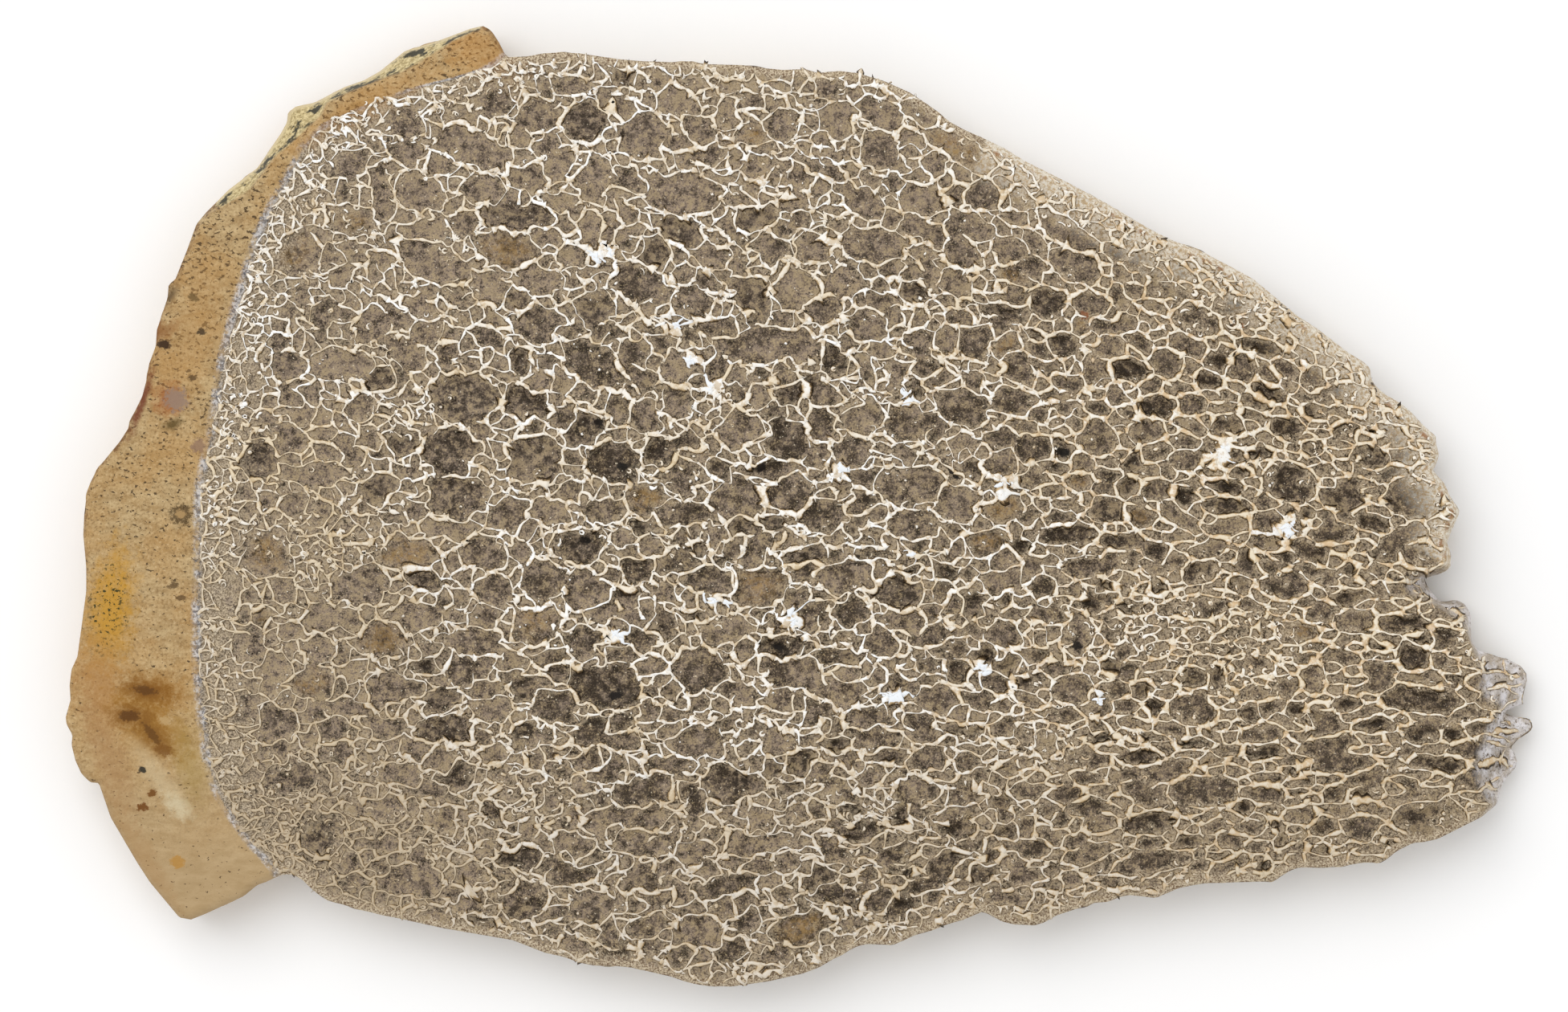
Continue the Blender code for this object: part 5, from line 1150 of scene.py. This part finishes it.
def rim_inside(place):
    """How far each point lies inside the outer bone in mm, along x, from the border as a curve over y."""
    low, high, points = -50, 50, 26
    half_width = 75
    x, y, _ = add("ShaderNodeSeparateXYZ", {0: place}).outputs
    curve = add("ShaderNodeFloatCurve", {1: between(y, low, high)})
    line = curve.mapping.curves[0]
    spread = np.linspace(0, 1, points)
    heights = (np.interp(low + spread * (high - low), rim_y, rim_x) + half_width) / (2 * half_width)
    line.points[0].location = (0, heights[0])
    line.points[1].location = (1, heights[-1])
    for at, height in zip(spread[1:-1], heights[1:-1]):
        line.points.new(at, height)
    curve.mapping.update()
    border = between(curve.outputs[0], 0, 1, -half_width, half_width)
    return plus(border, times(x, -1.0))


def outer_bone(place):
    """The tan of the outer bone: streaked along it, sandy, with dark pores that thin out downwards."""
    streak = noise(place, 0.55, 6, 0.62, (2.4, 20))
    sand = noise(place, 3.4, 4, 0.7)
    tan = mix(between(streak, 0.35, 0.65), colour(162, 133, 90), colour(194, 168, 124))
    tan = mix(between(noise(place, 0.16, 4, 0.6), 0.42, 0.6, 0.0, 0.45), tan, colour(180, 136, 76))
    tan = mix(between(sand, 0.47, 0.36, 0.0, 0.65), tan, colour(122, 92, 54))
    tan = mix(between(sand, 0.56, 0.66, 0.0, 0.5), tan, colour(214, 188, 146))
    tip = mix(between(streak, 0.3, 0.7), colour(168, 141, 101), colour(184, 158, 119))
    tan = mix(up(place, -22, -38), tan, tip)
    pores = plus(noise(place, 1.9, 3, 0.6, (1.5, 30)), times(up(place, -30, 25), -0.085))
    return mix(between(pores, 0.345, 0.315, 0.0, 0.9), tan, colour(70, 52, 30))


def marrow_stone(place, cloud, patch, grit, near, tone):
    """The grey-brown stone in the cells: clouded, darker to the right, paler at the left and the upper
    left, and the nearer to a wall the more dark and pale dirt in it."""
    fill = mix(between(shaken(cloud, tone, 0.08), 0.38, 0.62), colour(90, 76, 61), colour(145, 128, 112))
    fill = mix(times(across(place, 5, 40), 0.5), fill, colour(96, 81, 66))
    pallor = plus(across(place, -25, -50), times(up(place, 12, 34), across(place, 45, 15)))
    fill = mix(between(pallor, 0.0, 1.0, 0.0, 0.4), fill, colour(150, 132, 116))
    dirt = shaken(shaken(patch, tone, 0.09), grit, 0.3)
    dirt = plus(dirt, between(pallor, 0.0, 1.0, 0.0, 0.03))
    for dirty, tint in (
        (between(dirt, 0.515, 0.425), colour(40, 31, 20)),
        (between(dirt, 0.53, 0.6, 0.0, 0.85), colour(172, 152, 118)),
        (between(grit, 0.56, 0.66, 0.0, 0.8), colour(190, 168, 128)),
        (between(grit, 0.46, 0.34, 0.0, 0.85), colour(42, 32, 21)),
    ):
        fill = mix(times(near, dirty), fill, tint)
    return fill


# The sawn face
(material, shader, place, wall_off, gloom, ochre, crowd, tone, weathered, broken, shore, banded) = stone(
    "silicified_bone", "wall", "gloom", "ochre", "crowd", "tone", "weathered", "broken", "shore", "banded")
rim = rim_inside(place)
cloud = noise(place, 0.55, 5, 0.65)
patch = noise(place, 1.15, 5, 0.75)
grainy = noise(place, 2.6, 4, 0.75)
grit = noise(place, 5.5, 3, 0.75)

# The filling: dark in the open cells, ochre in some, pale where walls crowd and in a halo round them
near = between(shaken(wall_off, patch, 1.2), 0.85, 0.2, 0.7, 1.0)
fill = marrow_stone(place, cloud, patch, grit, near, tone)
fill = mix(times(gloom, between(patch, 0.58, 0.44, 0.0, 0.7)), fill, colour(44, 35, 25))
fill = mix(times(ochre, between(grainy, 0.42, 0.58, 0.05, 0.7)), fill, colour(156, 124, 74))
dusty = times(between(crowd, 0.22, 0.45), between(grainy, 0.46, 0.58, 0.0, 0.9))
fill = mix(dusty, fill, colour(184, 167, 140))
lacy = times(between(shaken(rim, patch, 6.0), -5.0, -2.0), 0.7)
fill = mix(lacy, fill, mix(between(grit, 0.45, 0.57), colour(112, 97, 78), colour(212, 196, 170)))
reach = plus(wall_off, times(across(place, 5, 40), -0.26))
halo = times(between(shaken(reach, grainy, 0.8), 0.34, 0.04), between(grainy, 0.42, 0.54, 0.0, 0.9))
fill = mix(halo, fill, mix(between(grit, 0.4, 0.6), colour(140, 120, 94), colour(207, 190, 163)))
white = times(near, between(noise(place, 2.9, 2, 0.5), 0.69, 0.72))
fill = mix(white, fill, colour(222, 208, 182))

# The outer bone with its darkened upper hem, and the bluish speckled seam where it meets the rest
tan = outer_bone(place)
hem = times(between(shaken(shore, patch, 2.6), 0.5, 0.05, 0.0, 0.8), up(place, -10, 4))
tan = mix(times(hem, between(cloud, 0.46, 0.58, 0.2, 1.0)), tan, colour(108, 72, 38))
border = shaken(rim, grit, 1.1)
inner = between(border, -0.08, 0.12)
face = mix(inner, fill, tan)
seam = times(between(border, 0.75, 0.35), between(border, -0.5, -0.2))
speckled = mix(between(grainy, 0.46, 0.54), colour(98, 102, 112), colour(212, 212, 214))
face = mix(times(seam, between(cloud, 0.42, 0.56, 0.1, 0.7)), face, speckled)
for *spot, share, stain in STAINS:
    face = mix(times(mark(place, patch, 0.35, 1.35, spot), share), face, colour(*stain))
moss = times(mark(place, cloud, 0.6, 1.2, MOSS), between(grainy, 0.55, 0.59))
face = mix(moss, face, colour(58, 56, 26))
for *spot, share, stain in PITS:
    face = mix(times(mark(place, grainy, 0.75, 1.1, spot), share), face, colour(*stain))

# The weathered strip at the upper left, with dark flecks and a pale outer line
strip = mix(between(grainy, 0.4, 0.58), colour(150, 130, 84), colour(216, 198, 150))
strip = mix(between(noise(place, 0.5, 4, 0.6), 0.53, 0.47), strip, colour(62, 58, 42))
strip = mix(between(shaken(shore, grainy, 1.2), 0.4, 0.15), strip, colour(208, 190, 150))
face = mix(between(weathered, 0.1, 0.4), face, strip)

# A worn line along the spongy bone's outline, and the pale band with rust spots at the upper right
edged = between(shaken(shaken(shore, grainy, 2.4), patch, 4.0), 1.2, 0.3, 0.0, 0.85)
worn_line = mix(between(grit, 0.42, 0.56), colour(118, 92, 66), colour(218, 202, 174))
face = mix(times(between(inner, 1.0, 0.0), edged), face, worn_line)
band = times(banded, between(shaken(shaken(shore, grainy, 3.0), patch, 6.0), 4.6, 1.2, 0.0, 0.8))
face = mix(band, face, mix(between(grainy, 0.42, 0.56), colour(190, 164, 126), colour(240, 233, 218)))
spotted = add("ShaderNodeTexVoronoi", {"Vector": place, "Scale": 0.8}).outputs["Distance"]
rust = times(times(banded, between(spotted, 0.275, 0.5, 1.0, 0.0)), between(shore, 0.5, 0.7, 0.0, 0.8))
rust = times(rust, between(shaken(shore, grainy, 0.8), 1.1, 0.9))
face = mix(rust, face, colour(146, 96, 50))

# The break on the right: pale stone with brown grains
end = mix(between(cloud, 0.4, 0.6), colour(182, 170, 156), colour(244, 242, 246))
end = mix(between(grainy, 0.46, 0.36), end, colour(84, 70, 52))
face = mix(times(broken, 0.75), face, end)
finish(shader, face, 0.5, grit, 0.35, 0.0002)
slab.data.materials.append(material)

# The side and the back, where the same bone shows as cells of two sizes
material, shader, place = stone("broken_bone")
cloud = noise(place, 0.55, 5, 0.65)
patch = noise(place, 1.15, 5, 0.75)
grit = noise(place, 5.5, 3, 0.75)
wander = add("ShaderNodeTexNoise", {"Vector": place, "Scale": 0.7, "Detail": 3.0}).outputs[1]
wander = add("ShaderNodeVectorMath", {0: wander, "Scale": 1.6}, operation="SCALE").outputs[0]
warped = add("ShaderNodeVectorMath", {0: place, 1: wander}, operation="ADD").outputs[0]
wide, fine = (
    add("ShaderNodeTexVoronoi", {"Vector": warped, "Scale": scale}, feature="DISTANCE_TO_EDGE").outputs[0]
    for scale in (0.42, 0.95)
)
crossed = times(between(fine, 0.1, 0.05), between(cloud, 0.48, 0.56))
lines = plus(between(wide, 0.075, 0.035), crossed)
inner = between(shaken(rim_inside(place), grit, 1.1), -0.08, 0.12)
fill = marrow_stone(place, cloud, patch, grit, 0.7, 0.5)
fill = mix(between(lines, 0.0, 1.0, 0.0, 0.85), fill, colour(214, 192, 154))
finish(shader, mix(inner, fill, outer_bone(place)), 0.6, patch, 0.5, 0.0005)
slab.data.materials.append(material)


# The studio: a sheet of pale paper, a wide soft lamp at the upper left, and the camera straight above
FLOOR_REACH = 3.0
floor_mesh = bpy.data.meshes.new("floor")
corners = [(FLOOR_REACH * x, FLOOR_REACH * y, 0) for x, y in ((-1, -1), (1, -1), (1, 1), (-1, 1))]
floor_mesh.from_pydata(corners, [], [(0, 1, 2, 3)])
floor = bpy.data.objects.new("floor", floor_mesh)
bpy.context.scene.collection.objects.link(floor)
paper = bpy.data.materials.new("paper")
paper.use_nodes = True
sheet = paper.node_tree.nodes["Principled BSDF"]
sheet.inputs["Base Color"].default_value = (0.99, 0.99, 0.99, 1)
sheet.inputs["Roughness"].default_value = 1.0
sheet.inputs["Specular IOR Level"].default_value = 0.0
floor_mesh.materials.append(paper)

# The photo's size, and the pixel that lies over the part's origin
PHOTO_SIZE = (1953, 1260)
ORIGIN_PIXEL = (999, 629.5)
MM_PER_PIXEL = 0.0818
LENS = 120.0
SENSOR = 36.0
eye_x = (PHOTO_SIZE[0] / 2 - ORIGIN_PIXEL[0]) * MM_PER_PIXEL
eye_y = (ORIGIN_PIXEL[1] - PHOTO_SIZE[1] / 2) * MM_PER_PIXEL
eye_z = THICKNESS + PHOTO_SIZE[0] * MM_PER_PIXEL * LENS / SENSOR
camera = bpy.data.objects.new("camera", bpy.data.cameras.new("camera"))
camera.data.lens = LENS
camera.data.sensor_width = SENSOR
camera.data.clip_start = 0.01
camera.location = (eye_x * MM, eye_y * MM, eye_z * MM)
bpy.context.scene.collection.objects.link(camera)
bpy.context.scene.camera = camera

lamp = bpy.data.objects.new("softbox", bpy.data.lights.new("softbox", "AREA"))
lamp.data.shape = "SQUARE"
lamp.data.size = 0.9
lamp.data.energy = 4.8
lamp.location = (-0.35, 0.45, 0.9)
lamp.rotation_euler = (-Vector(lamp.location)).to_track_quat("-Z", "Y").to_euler()
bpy.context.scene.collection.objects.link(lamp)
world = bpy.data.worlds.new("studio")
world.use_nodes = True
world.node_tree.nodes["Background"].inputs["Color"].default_value = (1, 1, 1, 1)
world.node_tree.nodes["Background"].inputs["Strength"].default_value = 0.78
bpy.context.scene.world = world
bpy.context.scene.view_settings.view_transform = "Standard"
